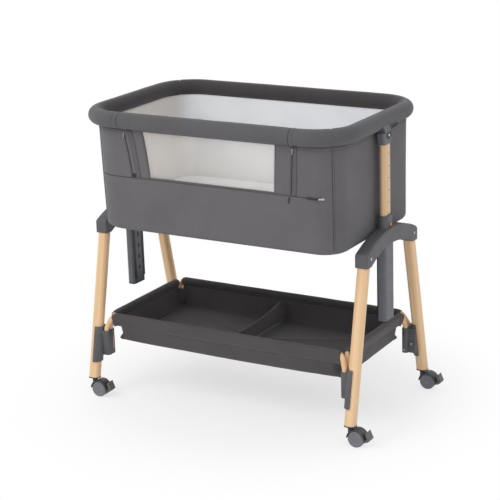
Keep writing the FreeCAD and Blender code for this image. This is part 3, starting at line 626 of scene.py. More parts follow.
def block(name, outline, low, high, edge=0.0):
    # a plate with an outline in XY between two heights, its edges broken
    rings = [[Vector((x, y, z)) for x, y in outline] for z in (low, high)]
    mesh = ringMesh(name, rings)
    if edge:
        with editing(mesh) as edit:
            bmesh.ops.bevel(edit, geom=edit.edges, offset=edge, segments=1, affect="EDGES")
    return mesh


def oblong(halfX, halfY, corner, parts=4):
    # corner points of a rounded rectangle
    points = []
    for turn, (cx, cy) in enumerate(((1, 1), (-1, 1), (-1, -1), (1, -1))):
        for part in range(parts + 1):
            angle = math.radians(90 * (turn + part / parts))
            points.append((cx * (halfX - corner) + corner * math.cos(angle),
                           cy * (halfY - corner) + corner * math.sin(angle)))
    return points


def facing(spot, out, along=(0, 0, 1)):
    # a place for a small part: its Z looks out of the surface and its X runs along it
    out = Vector(out).normalized()
    side = Vector(along).cross(out).normalized()
    place = Matrix((side.cross(out).normalized() * -1, side, out)).transposed().to_4x4()
    place.translation = spot
    return place


def placed(mesh, place):
    mesh.transform(place)
    return mesh


def gather(name, meshes, material, body, angle=35):
    # small parts of one material as one piece
    both = bmesh.new()
    for mesh in meshes:
        both.from_mesh(mesh)
    whole = bpy.data.meshes.new(name)
    both.to_mesh(whole)
    both.free()
    return make(name, shadeSmooth(whole, angle), material, body)


def ringStops(halfX, halfY, corners, step, breaks=(), cornerStep=None):
    # stops round a rounded rectangle, from the middle of the front to the right: place, way out, distance
    rightR, leftR = corners
    rightX, leftX = halfX - rightR, leftR - halfX
    front = sorted(x for x in breaks if x < rightX)
    lines = [((a, -halfY), (b, -halfY)) for a, b in zip([0.0] + front, front + [rightX])]
    low, high = rightR - halfY, halfY - rightR
    leftLow, leftHigh = leftR - halfY, halfY - leftR
    runs = [(line, -90, 0.0) for line in lines]
    runs += [((rightX, low), -90, rightR), (((halfX, low), (halfX, high)), 0, 0.0),
             ((rightX, high), 0, rightR), (((rightX, halfY), (leftX, halfY)), 90, 0.0),
             ((leftX, leftHigh), 90, leftR), (((-halfX, leftHigh), (-halfX, leftLow)), 180, 0.0),
             ((leftX, leftLow), 180, leftR)]
    back = [-x for x in reversed(front)]
    runs += [(((a, -halfY), (b, -halfY)), 270, 0.0) for a, b in zip([leftX] + back, back + [0.0])]
    stops, along = [], 0.0
    for run, angle, radius in runs:
        length = radius * math.pi / 2 if radius else math.dist(*run)
        parts = max(1, math.ceil(length / (cornerStep or step if radius else step)))
        for part in range(parts):
            share = part / parts
            turn = math.radians(angle + 90 * share) if radius else math.radians(angle)
            if radius:
                x, y = run[0] + radius * math.cos(turn), run[1] + radius * math.sin(turn)
            else:
                x, y = (a + (b - a) * share for a, b in zip(*run))
            stops.append((x, y, turn, along + length * share))
        along += length
    return stops, along


def bend(turn):
    # 0 on the straight sides, 1 in the middle of a corner
    return abs(math.sin(2 * turn))


bassinet = {
    "half": (0.424, 0.262),
    "corners": (0.076, 0.104),    # the cloth is drawn tighter round the right corners
    "bottom": 0.563,
    "top": 0.8797,
    "seam": 0.732,
    "bottomRound": 0.016,
    "taper": (0.001, 0.008, 0.004),   # the walls draw in towards the bottom: right, left, front and back
    "cut": 0.289,                 # the drop side runs between these
    "cutAtSeam": (0.262, 0.281),  # left and right, where the side zips meet the seam
    "drawnTo": 0.335,             # the narrow cut draws the front in as far as this
    "zipEnds": (-0.1930, -0.2535),    # left and right, where the seam zip ends round the corners
    "cloth": 0.0027,
    "window": (-0.220, 0.231, 0.738, 0.8765),
    "ripple": 0.0010,
    "tuck": 0.0030,               # how far the cloth's upper edge goes up into the padding
    "cornerSeam": 46.0,           # degrees round each corner from the long side
    "seamDepth": 0.0016,
}


def ease(value, start, end):
    share = min(max((value - start) / (end - start), 0.0), 1.0)
    return share * share * (3 - 2 * share)


def drawnIn(x, z):
    # the cloth of the front is cut a little narrower at the seam than at the rim
    facts = bassinet
    share = max(0.0, (facts["top"] - z) / (facts["top"] - facts["seam"])) ** (0.7 if x < 0 else 1.0)
    if z < facts["seam"]:
        share = 1 - (facts["seam"] - z) / 0.07
    share = min(max(share, 0.0), 1.0)
    narrow = facts["cutAtSeam"][0 if x < 0 else 1]
    reach, cut = abs(x), facts["cut"]
    shift = (cut - narrow) * share
    if reach <= cut:
        moved = reach - shift * reach / cut
    else:
        moved = reach - shift * max(0.0, 1 - (reach - cut) / (facts["drawnTo"] - cut))
    return math.copysign(moved, x)


def seamAway(stop):
    # distance of a stop from the upright seam in its corner
    radius = bassinet["corners"][0 if stop[0] > 0 else 1]
    middle = math.radians(bassinet["cornerSeam"])
    return abs(math.atan2(abs(math.cos(stop[2])), abs(math.sin(stop[2]))) - middle) * radius


def wallRipple(along, z):
    broad = wobble(along * 3.4, z * 4.0, 1.7)
    close = wobble(along * 15.0, z * 6.0, 8.1) * ease(z, 0.80, 0.88)
    return (broad + close * 0.5) * bassinet["ripple"]


def zipped(stop):
    # the seam zip runs along the front and a little way round its corners
    return stop[1] < bassinet["zipEnds"][1 if stop[0] > 0 else 0]


def onFront(stop):
    return stop[1] < -0.2 and abs(math.cos(stop[2])) < 0.001


def wallPoint(stop, z, out=0.0, ripple=True):
    x, y, turn, along = stop
    low = (bassinet["top"] - z) / (bassinet["top"] - bassinet["bottom"])
    low = min(max(low, 0.0), 1.0)
    reach = out + (wallRipple(along, z) if ripple else 0.0)
    halfX, halfY = bassinet["half"]
    right, left, side = bassinet["taper"]
    taper = left + (right - left) * ease(x, -halfX, halfX)
    if onFront(stop):
        x = drawnIn(x, z)
    px = (x + math.cos(turn) * reach) * (1 - low * taper / halfX)
    py = (y + math.sin(turn) * reach) * (1 - low * side / halfY)
    return Vector((px, py, z))


windowEdges = (-bassinet["window"][0], bassinet["window"][1])
wallStops, wallRound = ringStops(*bassinet["half"], bassinet["corners"], 0.009,
                                 windowEdges + (bassinet["cut"],), 0.0032)


def heights(low, high, step, marks=()):
    ends = sorted([low, high, *marks])
    rows = []
    for a, b in zip(ends, ends[1:]):
        parts = max(1, round((b - a) / step))
        rows += [a + (b - a) * part / parts for part in range(parts)]
    return rows + [high]


def inOpening(first, second, low, high):
    # between the side zips and above the seam
    middleX = (first[0] + second[0]) / 2
    between = onFront(first) and abs(middleX) < bassinet["cut"]
    return between and (low + high) / 2 > bassinet["seam"]


def seamRows():
    seam = bassinet["seam"]
    return [seam - 0.0035, seam - 0.0015, seam, seam + 0.0015, seam + 0.0035]


def makeWalls():
    curve = bassinet["bottomRound"]
    rows = [(curve * (math.cos(a) - 1), bassinet["bottom"] + curve * (1 - math.sin(a)))
            for a in (math.radians(18 * part) for part in (5, 4, 3, 2, 1))]
    top = bassinet["top"] + bassinet["tuck"]
    rows += [(0.0, z) for z in heights(bassinet["bottom"] + curve, top, 0.010, seamRows())]

    def place(stop, row):
        out, z = row
        groove = 0.0010 * zipped(stop) * math.exp(-((z - bassinet["seam"]) / 0.0016) ** 2)
        crease = bassinet["seamDepth"] * math.exp(-(seamAway(stop) / 0.0026) ** 2)
        return wallPoint(stop, z, out - max(groove, crease)), (stop[3], z + out)

    mesh = clothMesh("wallCloth", wallStops, rows, place,
                     lambda a, b, low, high: inOpening(a, b, low[1], high[1]), closed=wallRound)
    hang("bassinetWalls", mesh, "walls", bassinet["cloth"], "bassinet", "wall_fabric", ["outer_skirt"],
         flat=(2.53, 0.33), area=0.75, held="stretched", rests_on=["rim_tube"])

    shrink = [0.0, 0.06, 0.14, 0.25, 0.38, 0.52, 0.66, 0.8, 0.92]

    def flat(stop, share):
        edge = wallPoint(stop, bassinet["bottom"], -curve)
        spot = Vector((edge.x * (1 - share), edge.y * (1 - share), bassinet["bottom"]))
        spot.z += wobble(spot.x * 6, spot.y * 6, 3.3) * 0.0008 + 0.0004
        return spot, (spot.x, spot.y)

    mesh = closeMiddle(clothMesh("bottomCloth", wallStops[::-1], shrink, flat, closed=0.0001), 0.06)
    inward = 1.0 if mesh.polygons[0].normal.z > 0 else -1.0
    hang("bassinetBottom", shadeSmooth(mesh), "walls", 0.0024, "bassinet", "wall_fabric", offset=inward,
         flat=(0.80, 0.50), area=0.37, held="stretched", rests_on=["bassinetWalls"])


makeWalls()
print("bassinet walls made")

# shadedEnd: the distances left of the middle over which the lining's painted shade comes in
lining = {"gap": 0.0046, "cloth": 0.0022, "low": 0.583, "top": 0.8845, "fold": 0.0042, "shadedEnd": (0.36, 0.41)}


def liningFold(stop, z):
    # small upright folds where the cloth gathers in the four corners
    turn, along = stop[2:]
    line = math.sin(along * 2 * math.pi / 0.034 + z * 9)
    strength = 0.35 + 0.65 * wobble(along * 9, z * 3, 5.5)
    return bend(turn) * line * strength * lining["fold"] * (0.5 + ease(z, 0.74, 0.87))


def makeLining():
    rows = heights(lining["low"], lining["top"], 0.010, [bassinet["seam"]])

    def place(stop, z):
        return wallPoint(stop, z, -lining["gap"] - abs(liningFold(stop, z)), ripple=True), (stop[3], z)

    mesh = clothMesh("lining", wallStops, rows, place, inOpening, closed=wallRound)
    cloth = hang("bassinetLining", mesh, "lining", lining["cloth"], "bassinet", "lining_fabric",
                 ["inner_lining"], flat=(2.50, 0.295), area=0.65, held="stretched", rests_on=["rim_tube"])
    # painted shade: the left end is coloured darker and warmer, standing in for the shade inside that end
    side = cloth.data.attributes.new("inner", "FLOAT", "POINT")
    for item, vertex in zip(side.data, cloth.data.vertices):
        item.value = ease(-vertex.co.x, *lining["shadedEnd"])


makeLining()
print("lining made")


def frontStop(x):
    return (x, -bassinet["half"][1], -math.pi / 2, x if x >= 0 else wallRound + x)


def makeDropPanel():
    left, right, low, high = bassinet["window"]
    edge = bassinet["cut"] - 0.0007
    columns = [frontStop(x) for x in heights(-edge, edge, 0.0095, [left, 0.0, right])]
    rows = heights(bassinet["seam"] + 0.0004, bassinet["top"] + bassinet["tuck"], 0.0085, [low, high])

    def inWindow(a, b, z, top):
        return left < (a[0] + b[0]) / 2 < right and low < (z + top) / 2 < high

    def place(stop, z):
        return wallPoint(stop, z), (stop[0], z)

    mesh = clothMesh("dropPanel", columns, rows, place, inWindow)
    hang("dropPanel", mesh, "walls", bassinet["cloth"], "drop_side", "wall_fabric", ["drop_panel"],
         back="lining", flat=(0.577, 0.147), area=0.0268, held="stretched", rests_on=["drop_rail_tube"])

    columns = [frontStop(x) for x in heights(left + 0.0003, right - 0.0003, 0.012, [0.0])]
    rows = heights(low + 0.0003, high - 0.0003, 0.012)

    def netPlace(stop, z):
        mid = 1 - ((z - (low + high) / 2) / ((high - low) / 2)) ** 2
        return wallPoint(stop, z, -0.0013 - 0.0008 * mid), (stop[0], z)

    mesh = clothMesh("windowNet", columns, rows, netPlace)
    hang("windowNet", mesh, "net", 0.0004, "drop_side", "window_mesh", ["mesh_window"], offset=0.0,
         flat=(0.451, 0.132), held="stretched", rests_on=["dropPanel"])


makeDropPanel()
print("drop side cloth made")

sewing = {
    "stitch": (0.0032, 0.0007),       # length and thickness of one stitch
    "stitchStep": 0.0046,
    "lift": 0.0004,
    "tooth": (0.0008, 0.0013, 0.0009),
    "toothStep": 0.0016,
    "tape": {"right": (0.2905, 0.3035), "left": (0.2750, 0.2570)},    # beside each side zip
    "closed": 0.012,                  # the sliders stand this far below the padding
    # thickness of the dark cord that paints the shade of each corner seam
    "welt": 0.0015,
    "seamTurns": (-58, 198, 203),     # degrees at which the seam zip's two ends stand in their corners
    "seamSlider": 0.3790,
    "tail": (0.330, 0.3680),
    "seed": 7,
}


def stitchShape():
    # one stitch: a short thread with both ends sunk in the cloth
    length, thick = sewing["stitch"]
    rings = []
    for part in range(5):
        x = length * (part / 4 - 0.5)
        rise = thick * 0.75 * math.sin(math.pi * part / 4) - thick * 0.15
        size = thick * (0.5 if part in (1, 2, 3) else 0.25)
        rings.append([Vector((x, size * math.cos(a), rise + size * 0.8 * math.sin(a)))
                      for a in (math.radians(60 * side) for side in range(6))])
    return make("stitchShape", ringMesh("stitchShape", rings))


def toothShape():
    # one zip tooth: a block with a head that hooks between its neighbours
    along, across, tall = sewing["tooth"]
    outline = [(-along * 0.5, -across / 2), (along * 0.5, -across / 2), (along * 0.35, across * 0.15),
               (along * 0.62, across * 0.3), (along * 0.4, across / 2), (-along * 0.4, across / 2),
               (-along * 0.62, across * 0.3), (-along * 0.35, across * 0.15)]
    return make("toothShape", block("toothShape", outline, -tall * 0.4, tall * 0.6))


def wayOut(stop):
    return Vector((math.cos(stop[2]), math.sin(stop[2]), 0))


def surfaceTrack(points, lift=0.0):
    # a track over the bassinet's outer cloth: (stop, height) pairs, lifted a little off it
    return track([wallPoint(stop, z, lift) for stop, z in points], [wayOut(stop) for stop, z in points])


shapes = {"stitch": stitchShape(), "tooth": toothShape()}


def sew(name, points, body, lift=0.0, shape="stitch", slot="wall_fabric", material="thread", unevenness=0.12):
    grow(name, "repeat", surfaceTrack(points, lift), body, slot, shape=shapes[shape], unevenness=unevenness,
         spacing=sewing[shape + "Step"], seed=sewing["seed"], material=paints[material])


def teeth(name, points, body, lift=0.0):
    sew(name, points, body, lift, "tooth", "zip_metal", "zip", 0.02)


def frontLine(x, low, high, step=0.012):
    # an upright line on the front cloth
    return [(frontStop(x), z) for z in heights(low, high, step)]


def makeSeams():
    seam, top, cut = bassinet["seam"], bassinet["top"], bassinet["cut"]
    low = bassinet["bottom"] + bassinet["bottomRound"]
    lift = sewing["lift"]
    bends = [stop for stop in wallStops if bend(stop[2]) > 0.1]
    for place, sideX, sideY in (("frontRight", 1, -1), ("rearRight", 1, 1), ("rearLeft", -1, 1),
                                ("frontLeft", -1, -1)):
        corner = [stop for stop in bends if stop[0] * sideX > 0 and stop[1] * sideY > 0]
        stop = min(corner, key=seamAway)
        beside = min((other for other in corner if other[3] > stop[3] + 0.005), key=lambda other: other[3])
        sew(place + "Stitches", [(beside, z) for z in heights(low, top - 0.004, 0.012)], "bassinet", lift)
        # painted shade: a thin dark cord laid in the corner seam's crease draws the seam's shade as a dark
        # line
        welt = [wallPoint(stop, z, -bassinet["seamDepth"] * 0.5) for z in heights(low, top - 0.002, 0.012)]
        pipe(place + "Welt", welt, "bassinet", "wall_fabric", "thread", sewing["welt"], sides=8)
    around = [stop for stop in wallStops if not inOpening(stop, stop, top, top)]
    start = next(i for i, stop in enumerate(around) if stop[0] > cut + 0.003)
    end = next(i for i in range(len(around) - 1, 0, -1) if around[i][0] < -cut - 0.003)
    sew("topStitches", [(stop, top - 0.0110) for stop in around[start:end]], "bassinet", lift)
    reach = cut - 0.006
    line = [(frontStop(x), seam + 0.0030) for x in heights(-reach, reach, 0.01)]
    sew("panelLowStitches", line, "drop_side", lift)
    left, right, bottom, upper = bassinet["window"]
    for name, x in (("windowLeft", left - 0.0035), ("windowRight", right + 0.0035)):
        sew(name + "Stitches", frontLine(x, bottom - 0.003, upper), "drop_side", lift)


def makeZips():
    seam, top, cut = bassinet["seam"], bassinet["top"], bassinet["cut"]

    def onTape(stop, z):
        return wallPoint(stop, z, 0.0009), (stop[0], z)

    for side, place in ((1, "right"), (-1, "left")):
        for row, owner, off in (("Outer", "bassinet", 0.0004), ("Inner", "drop_side", -0.0013)):
            line = frontLine(side * (cut + off), seam + 0.004, top - sewing["closed"])
            teeth(place + "Zip" + row, line, owner, 0.0002)
        # the tape is on the fixed side at the right, on the drop side at the left
        body = "bassinet" if side > 0 else "drop_side"
        near, far = sewing["tape"][place]
        columns = [frontStop(side * x) for x in sorted(near + (far - near) * i / 6 for i in range(7))]
        rows = heights(seam + 0.0015, top, 0.010)
        mesh = clothMesh(place + "ZipTape", columns, rows, onTape)
        hang(place + "ZipTape", mesh, "tape", 0.0009, body, "wall_fabric",
             offset=-1.0 if mesh.polygons[0].normal.y < 0 else 1.0, flat=(0.147, round(abs(far - near), 4)),
             held="stretched", rests_on=["bassinetWalls" if side > 0 else "dropPanel"])
        for edge, x in (("Near", near), ("Far", far)):
            x += math.copysign(0.0016, (near + far) / 2 - x)
            sew(place + "Tape" + edge, frontLine(side * x, seam + 0.004, top - 0.002), body, 0.0010)
    # seam zip round the front, from corner to corner
    start, low, high = (math.radians(angle) for angle in sewing["seamTurns"])
    first = next(i for i, stop in enumerate(wallStops) if stop[2] > start and stop[0] > 0.3)
    last = max(i for i, stop in enumerate(wallStops) if low < stop[2] < high and stop[0] < -0.3)
    line = wallStops[last:] + wallStops[:first]
    teeth("seamZipUpper", [(stop, seam + 0.0006) for stop in line], "bassinet", -0.0007)
    teeth("seamZipLower", [(stop, seam - 0.0008) for stop in line[::-1]], "bassinet", -0.0007)


def sliderMeshes(place):
    # zip slider: body over the teeth, bridge, and a pull that hangs along the place's X
    body = block("sliderBody", oblong(0.0044, 0.0032, 0.0014, 3), 0.0004, 0.0028, 0.0005)
    bridge = block("sliderBridge", oblong(0.0030, 0.0010, 0.0005, 2), 0.0028, 0.0040, 0.0003)
    pull = block("sliderPull", oblong(0.0056, 0.0020, 0.0010, 3), 0.0032, 0.0040, 0.0003)
    placed(pull, Matrix.Translation((0.0072, 0, 0)))
    return [placed(mesh, place) for mesh in (body, bridge, pull)]


def surfacePlace(stop, z, along=(0, 0, -1), lift=0.0):
    # a place on the bassinet's outer cloth whose X runs along the given way
    out = wayOut(stop)
    along = Vector(along)
    along = (along - out * along.dot(out)).normalized()
    place = Matrix((along, out.cross(along), out)).transposed().to_4x4()
    place.translation = wallPoint(stop, z, lift)
    return place


def makeSliders():
    seam, top, cut = bassinet["seam"], bassinet["top"], bassinet["cut"]
    meshes = []
    for side in (1, -1):
        meshes += sliderMeshes(surfacePlace(frontStop(side * (cut - 0.0004)), top - sewing["closed"]))
    sliders = gather("sideSliders", meshes, paints["rod"], "drop_side")
    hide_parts("side_zip_sliders")
    # seam zip: slider at the corner and a dark tape tail
    spots = [stop for stop in wallStops if stop[0] > 0.3 and stop[2] < -0.2 and stop[1] < 0]
    spot = min(spots, key=lambda stop: abs(stop[0] - sewing["seamSlider"]))
    back = (math.sin(spot[2]), -math.cos(spot[2]), 0)
    meshes = sliderMeshes(surfacePlace(spot, seam - 0.0002, back))
    seamSlider = gather("seamSlider", meshes, paints["steel"], "bassinet")
    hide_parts("seam_zip_pulls")
    near, far = sewing["tail"]
    tail = [stop for stop in wallStops if near < stop[0] < far and stop[1] < 0]
    points = [wallPoint(stop, seam - 0.0002, 0.0036) for stop in tail]
    pipe("seamPullTape", points, "bassinet", "wall_fabric", "dark", 0.0042)
    # the side zip's cord hangs below the seam, and a round snap closes the left corner of the drop side
    cord = [wallPoint(frontStop(x), z, out) for x, z, out in (
        (0.2828, seam - 0.0035, 0.0006), (0.2812, seam - 0.0065, 0.0018), (0.2790, seam - 0.013, 0.0020),
        (0.2772, seam - 0.021, 0.0016))]
    pipe("zipCord", cord, "bassinet", "wall_fabric", "dark", 0.0030, 0.004)
    profile = ((0.0001, 0.0), (0.0062, 0.0), (0.0066, 0.0010), (0.0058, 0.0024), (0.0046, 0.0028),
               (0.0042, 0.0022), (0.0022, 0.0020), (0.0001, 0.0024))
    snap = turned("zipSnap", profile, 28)
    placed(snap, surfacePlace(frontStop(-0.2830), seam + 0.0080, lift=0.0004))
    gather("zipSnap", [snap], paints["dark"], "drop_side")


makeSeams()
makeZips()
makeSliders()
print("seams and zips made")

rim = {
    "half": (0.430, 0.268),
    "corner": 0.109,
    "height": 0.907,
    "start": 0.0252,       # half thickness before the stuffing swells it
    "full": 0.0275,
    "cut": 0.2893,
    # stops beside each cut, for the folds of its sewn end
    "near": (0.0009, 0.0024, 0.0042, 0.0062, 0.0084, 0.0108, 0.0130, 0.0148, 0.0162, 0.0176, 0.0190, 0.0208,
             0.0232, 0.0262, 0.0298),
    "hookSlot": ((0.4530, 0.004, 0.8800), (0.4545, 0.014, 0.8815), (0.4550, 0.040, 0.8845),
                 (0.4555, 0.066, 0.8865), (0.4540, 0.078, 0.8875)),
    "sway": 0.0016,               # the cuts run in a slight wave round the roll
    "cap": 0.0030,
    # how deep and how wide the roll is drawn in: at a corner seam, at a sewn end, and where a fold follows
    # the end at a distance from the cut
    "rough": 0.012,
    "seamCrease": (0.075, 0.0028),
    "endCrease": (0.035, 0.0022),
    "railFold": (0.030, -0.0110, 0.0030),
    "rimFold": (0.070, 0.0165, 0.0022),
}


def swell(piece, cap, voxel=None, pressure=4.0, stiffness=12.0):
    # stuffing: the skin is blown up for twenty frames and kept near its own shape
    if voxel:
        skin = piece.modifiers.new("remesh", "REMESH")
        skin.mode = "VOXEL"
        skin.voxel_size = voxel * 1
        plain(piece)
    rest = [vertex.co.copy() for vertex in piece.data.vertices]
    cloth = piece.modifiers.new("stuffing", "CLOTH")
    facts = cloth.settings
    facts.quality = 4
    facts.mass = 0.2
    facts.tension_stiffness = stiffness
    facts.compression_stiffness = stiffness
    facts.shear_stiffness = stiffness * 0.4
    facts.bending_stiffness = 0.4
    facts.use_pressure = True
    facts.uniform_pressure_force = pressure
    facts.effector_weights.gravity = 0
    cloth.collision_settings.use_collision = False
    cloth.point_cache.frame_start = 1
    cloth.point_cache.frame_end = 22
    for step in range(1, 21):
        scene.frame_set(step)
        bpy.context.view_layer.update()
    plain(piece)
    scene.frame_set(1)
    for vertex, home in zip(piece.data.vertices, rest):
        shift = vertex.co - home
        if shift.length > cap:
            vertex.co = home + shift.normalized() * cap
    return piece


def subdivide(piece, levels=1):
    finer = piece.modifiers.new("finer", "SUBSURF")
    finer.levels = levels
    finer.render_levels = levels
    return plain(piece)


def rimCore(point):
    # the nearest point of the rectangle between the corners' centres, and the way from it to the point
    cores = [half - rim["corner"] for half in rim["half"]]
    near = [min(max(value, -core), core) for value, core in zip(point, cores)]
    return near, Vector((point[0] - near[0], point[1] - near[1], 0))


def rimSpot(point):
    # where a point of the padding is: distance round the rim and angle round the roll, from its underside
    coreX, coreY = (half - rim["corner"] for half in rim["half"])
    (nearX, nearY), away = rimCore(point)
    quarter = (math.atan2(away.y, away.x) + math.pi / 2) % (2 * math.pi)
    sides = (nearX, coreX + nearY + coreY, 2 * coreX + 2 * coreY - nearX, 3 * coreX + 3 * coreY - nearY,
             4 * coreX + 4 * coreY + nearX)
    along = rim["corner"] * quarter + sides[round(quarter / (math.pi / 2))]
    angle = math.atan2(point.z - rim["height"], away.length - rim["corner"])
    return along, (angle + math.pi / 2) % (2 * math.pi)


def rollCloth(piece, thick):
    # cloth coordinates in metres round the roll, and how far a point is on the dark inner side
    mesh = piece.data
    spots = [rimSpot(vertex.co) for vertex in mesh.vertices]
    side = mesh.attributes.new("inner", "FLOAT", "POINT")
    for item, (along, angle) in zip(side.data, spots):
        item.value = ease(math.degrees(angle), 186, 203)
    layer = mesh.uv_layers.new(name="UVMap") if not mesh.uv_layers else mesh.uv_layers[0]
    for face in mesh.polygons:
        angles = [spots[index][1] for index in face.vertices]
        alongs = [spots[index][0] for index in face.vertices]
        for loop, angle, along in zip(face.loop_indices, angles, alongs):
            if max(angles) - min(angles) > math.pi and angle < math.pi:
                angle += 2 * math.pi
            layer.data[loop].uv = (along, angle * thick)


def rollMesh(name, stops, radius, sides=28):
    # a roll along the stops, its ends nearly flat where they meet at the cut
    def ring(stop, share=1.0):
        x, y, turn, along = stop
        size = radius * share * (1 + 0.02 * wobble(along * 8, 0.3, 2.0))
        made = []
        for side in range(sides):
            angle = 2 * math.pi * side / sides
            reach = size * math.cos(angle)
            made.append(Vector((x + math.cos(turn) * reach, y + math.sin(turn) * reach,
                                rim["height"] + size * math.sin(angle))))
        return made

    first, last = stops[0], stops[-1]
    loops = [ring(first, 0.5), ring(first, 0.94)] + [ring(stop) for stop in stops[1:-1]]
    return ringMesh(name, loops + [ring(last, 0.94), ring(last, 0.5)])


def fold(away, middle, width):
    return math.exp(-((away - middle) / width) ** 2)


def dressRoll(piece, isRail):
    # the sewn ends are drawn in, seams crease the corners, and both ends stay on their side of the cut
    seam = math.radians(bassinet["cornerSeam"])
    cut = rim["cut"]
    seamDeep, seamWide = rim["seamCrease"]
    endDeep, endWide = rim["endCrease"]
    foldDeep, foldAway, foldWide = rim["railFold" if isRail else "rimFold"]
    for vertex in piece.data.vertices:
        spot = vertex.co
        near, away = rimCore(spot)
        axis = Vector((*near, rim["height"])) + away.normalized() * rim["corner"]
        radial = spot - axis
        angle = math.atan2(radial.z, away.length - rim["corner"])
        pull = rim["rough"] * wobble(*(spot * 22))
        off = abs(math.atan2(abs(away.x), abs(away.y)) - seam) * rim["corner"]
        pull += seamDeep * fold(off, 0.0, seamWide)
        past = abs(spot.x) - cut
        atCut = spot.y < -0.2 and abs(past) < 0.032
        if atCut:
            wave = past + 0.0020 * math.sin(angle * 2 + (1.3 if spot.x > 0 else 0.2))
            pull += endDeep * fold(past, 0.0, endWide) + foldDeep * fold(wave, foldAway, foldWide)
        vertex.co = axis + radial * (1 - pull)
        if atCut:
            reach = abs(vertex.co.x)
            reach = min(reach, cut - 0.0002) if isRail else max(reach, cut + 0.0002)
            reach += rim["sway"] * math.sin(angle * 2 + 0.8) * fold(past, 0.0, 0.02)
            vertex.co.x = math.copysign(reach, vertex.co.x)


def makeRim():
    cut = rim["cut"]
    breaks = [cut] + [cut + away for away in rim["near"]] + [cut - away for away in rim["near"]]
    stops = ringStops(*rim["half"], [rim["corner"]] * 2, 0.010, breaks, 0.0055)[0]
    front = [index for index, stop in enumerate(stops) if abs(abs(stop[0]) - cut) < 1e-6 and stop[1] < 0]
    start, end = front
    long = make("rimPad", rollMesh("rimPad", stops[start:end + 1], rim["start"]))
    swell(long, rim["cap"])
    rail = make("dropRailPad", rollMesh("dropRailPad", stops[end:] + stops[:start + 1], rim["start"]))
    swell(rail, rim["cap"])
    for piece, body, node in ((long, "bassinet", "rim_padding"), (rail, "drop_side", "drop_rail_padding")):
        subdivide(piece)
        dressRoll(piece, piece is rail)
        rollCloth(piece, rim["full"])
        dress(piece, "rim", body, node)


def makeHookSlots():
    # where each upright's hook goes in under the padding, a slot edged with dark webbing
    for side, place in ((1, "right"), (-1, "left")):
        line = [Vector((side * x, y, z)) for x, y, z in rim["hookSlot"]]
        pipe(place + "HookWebbing", line, "bassinet", "rim_fabric", "dark", 0.0074, 0.010)


makeRim()
makeHookSlots()
print("rim padding made")

mattress = {
    "half": (0.400, 0.243),
    "corner": 0.080,
    "low": 0.5712,
    "high": 0.6200,
    "crown": 0.003,
    "edge": 0.012,
    "voxel": 0.007,
    "cap": 0.008,
    "top": 0.6222,        # the sewn waves end here
    "wave": 0.055,
}


def makeMattress():
    facts = mattress
    stops, around = ringStops(*facts["half"], [facts["corner"]] * 2, 0.012)
    bulge = facts["edge"]
    low, high = facts["low"], facts["high"]
    rows = [(-0.85, low + 0.001), (-bulge * 1.6, low), (-bulge * 0.5, low + 0.003), (-0.002, low + 0.012),
            (-0.001, high - 0.014), (-bulge * 0.5, high - 0.004), (-bulge * 1.8, high - 0.001), (-0.85, high)]

    def place(stop, row):
        out, z = row
        x, y, turn, along = stop
        if out <= -0.8:
            return Vector((x * 0.15, y * 0.15, z + (facts["crown"] if z > low + 0.01 else 0))), (along, z)
        return Vector((x + math.cos(turn) * out, y + math.sin(turn) * out, z)), (along, z)

    pad = make("mattressPad", closeMiddle(clothMesh("mattress", stops, rows, place, closed=around)))
    swell(pad, facts["cap"], facts["voxel"], pressure=3.0)
    subdivide(pad)
    for vertex in pad.data.vertices:
        if vertex.co.z < low + 0.0005:
            vertex.co.z = low + 0.0005
        top = ease(vertex.co.z, high - 0.02, high - 0.004)
        if top > 0:                     # sewn waves across the cover
            wave = math.prod(math.sin(value * 2 * math.pi / facts["wave"]) for value in vertex.co.xy)
            vertex.co.z += (abs(wave) - 0.6) * 0.0012 * top
        vertex.co.z = min(vertex.co.z, facts["top"])
    dress(pad, "mattress", "bassinet", "mattress")


makeMattress()
print("mattress made")

basket = {
    "rail": (0.412, 0.204, 0.256),
    "tube": 0.016,
    "bend": 0.022,
    "sockets": ((0.421, 0.220), (0.420, 0.200)),
    "foot": 0.141,
    "turn": 0.217,
    "turns": (0.405, 0.186),
    "hem": (0.4035, 0.1855),
    "hemRadius": 0.0100,
    "bottom": 0.1745,
    "inset": 0.017,
    "half": (0.4125, 0.2045),
    "corner": 0.0385,
    "notch": 0.229,
    "droop": 0.0055,
    "cloth": 0.0018,
    "hemCloth": 0.0016,
    "weld": 0.0004,
    "divider": -0.0145,
    "dividerSize": (0.180, 0.1760),       # half its width, and its foot
    "sag": 0.004,
    "floor": (0.395, 0.187),
    "ears": (0.012, 0.032, 0.2395),       # the upper edge rises over these distances from a corner, to this
}


def makeBasketRails():
    x, y = basket["sockets"][0]
    railX, railY, railZ = basket["rail"]
    turnX, turnY = basket["turns"]
    low, turn = basket["foot"], basket["turn"]
    rails = {
        "basket_rear_tube": [(-x, y, low), (-x, y, turn), (-turnX, railY, railZ), (turnX, railY, railZ),
                             (x, y, turn), (x, y, low)],
    }
    rails["basket_front_tube"] = [(a, -b, c) for a, b, c in rails["basket_rear_tube"]]
    x, y = basket["sockets"][1]
    rails["basket_right_tube"] = [(x, -y, low), (x, -y, turn), (railX, -turnY, railZ), (railX, turnY, railZ),
                                  (x, y, turn), (x, y, low)]
    rails["basket_left_tube"] = [(-a, b, c) for a, b, c in rails["basket_right_tube"]]
    for node, points in rails.items():
        words = node.split("_")
        rail = pipe("basket" + words[1].capitalize() + "Rail", points, "root", "basket_tube", "wood",
                    basket["tube"], basket["bend"], sides=28)
        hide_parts(node)


def trayEdge(stop):
    # height of the cloth's upper edge: up to the rails, scooped out at the corners
    near = math.hypot(abs(stop[0]) - basket["rail"][0], abs(stop[1]) - basket["rail"][1])
    start, end, top = basket["ears"]
    return basket["notch"] + (top - basket["notch"]) * ease(near, start, end)


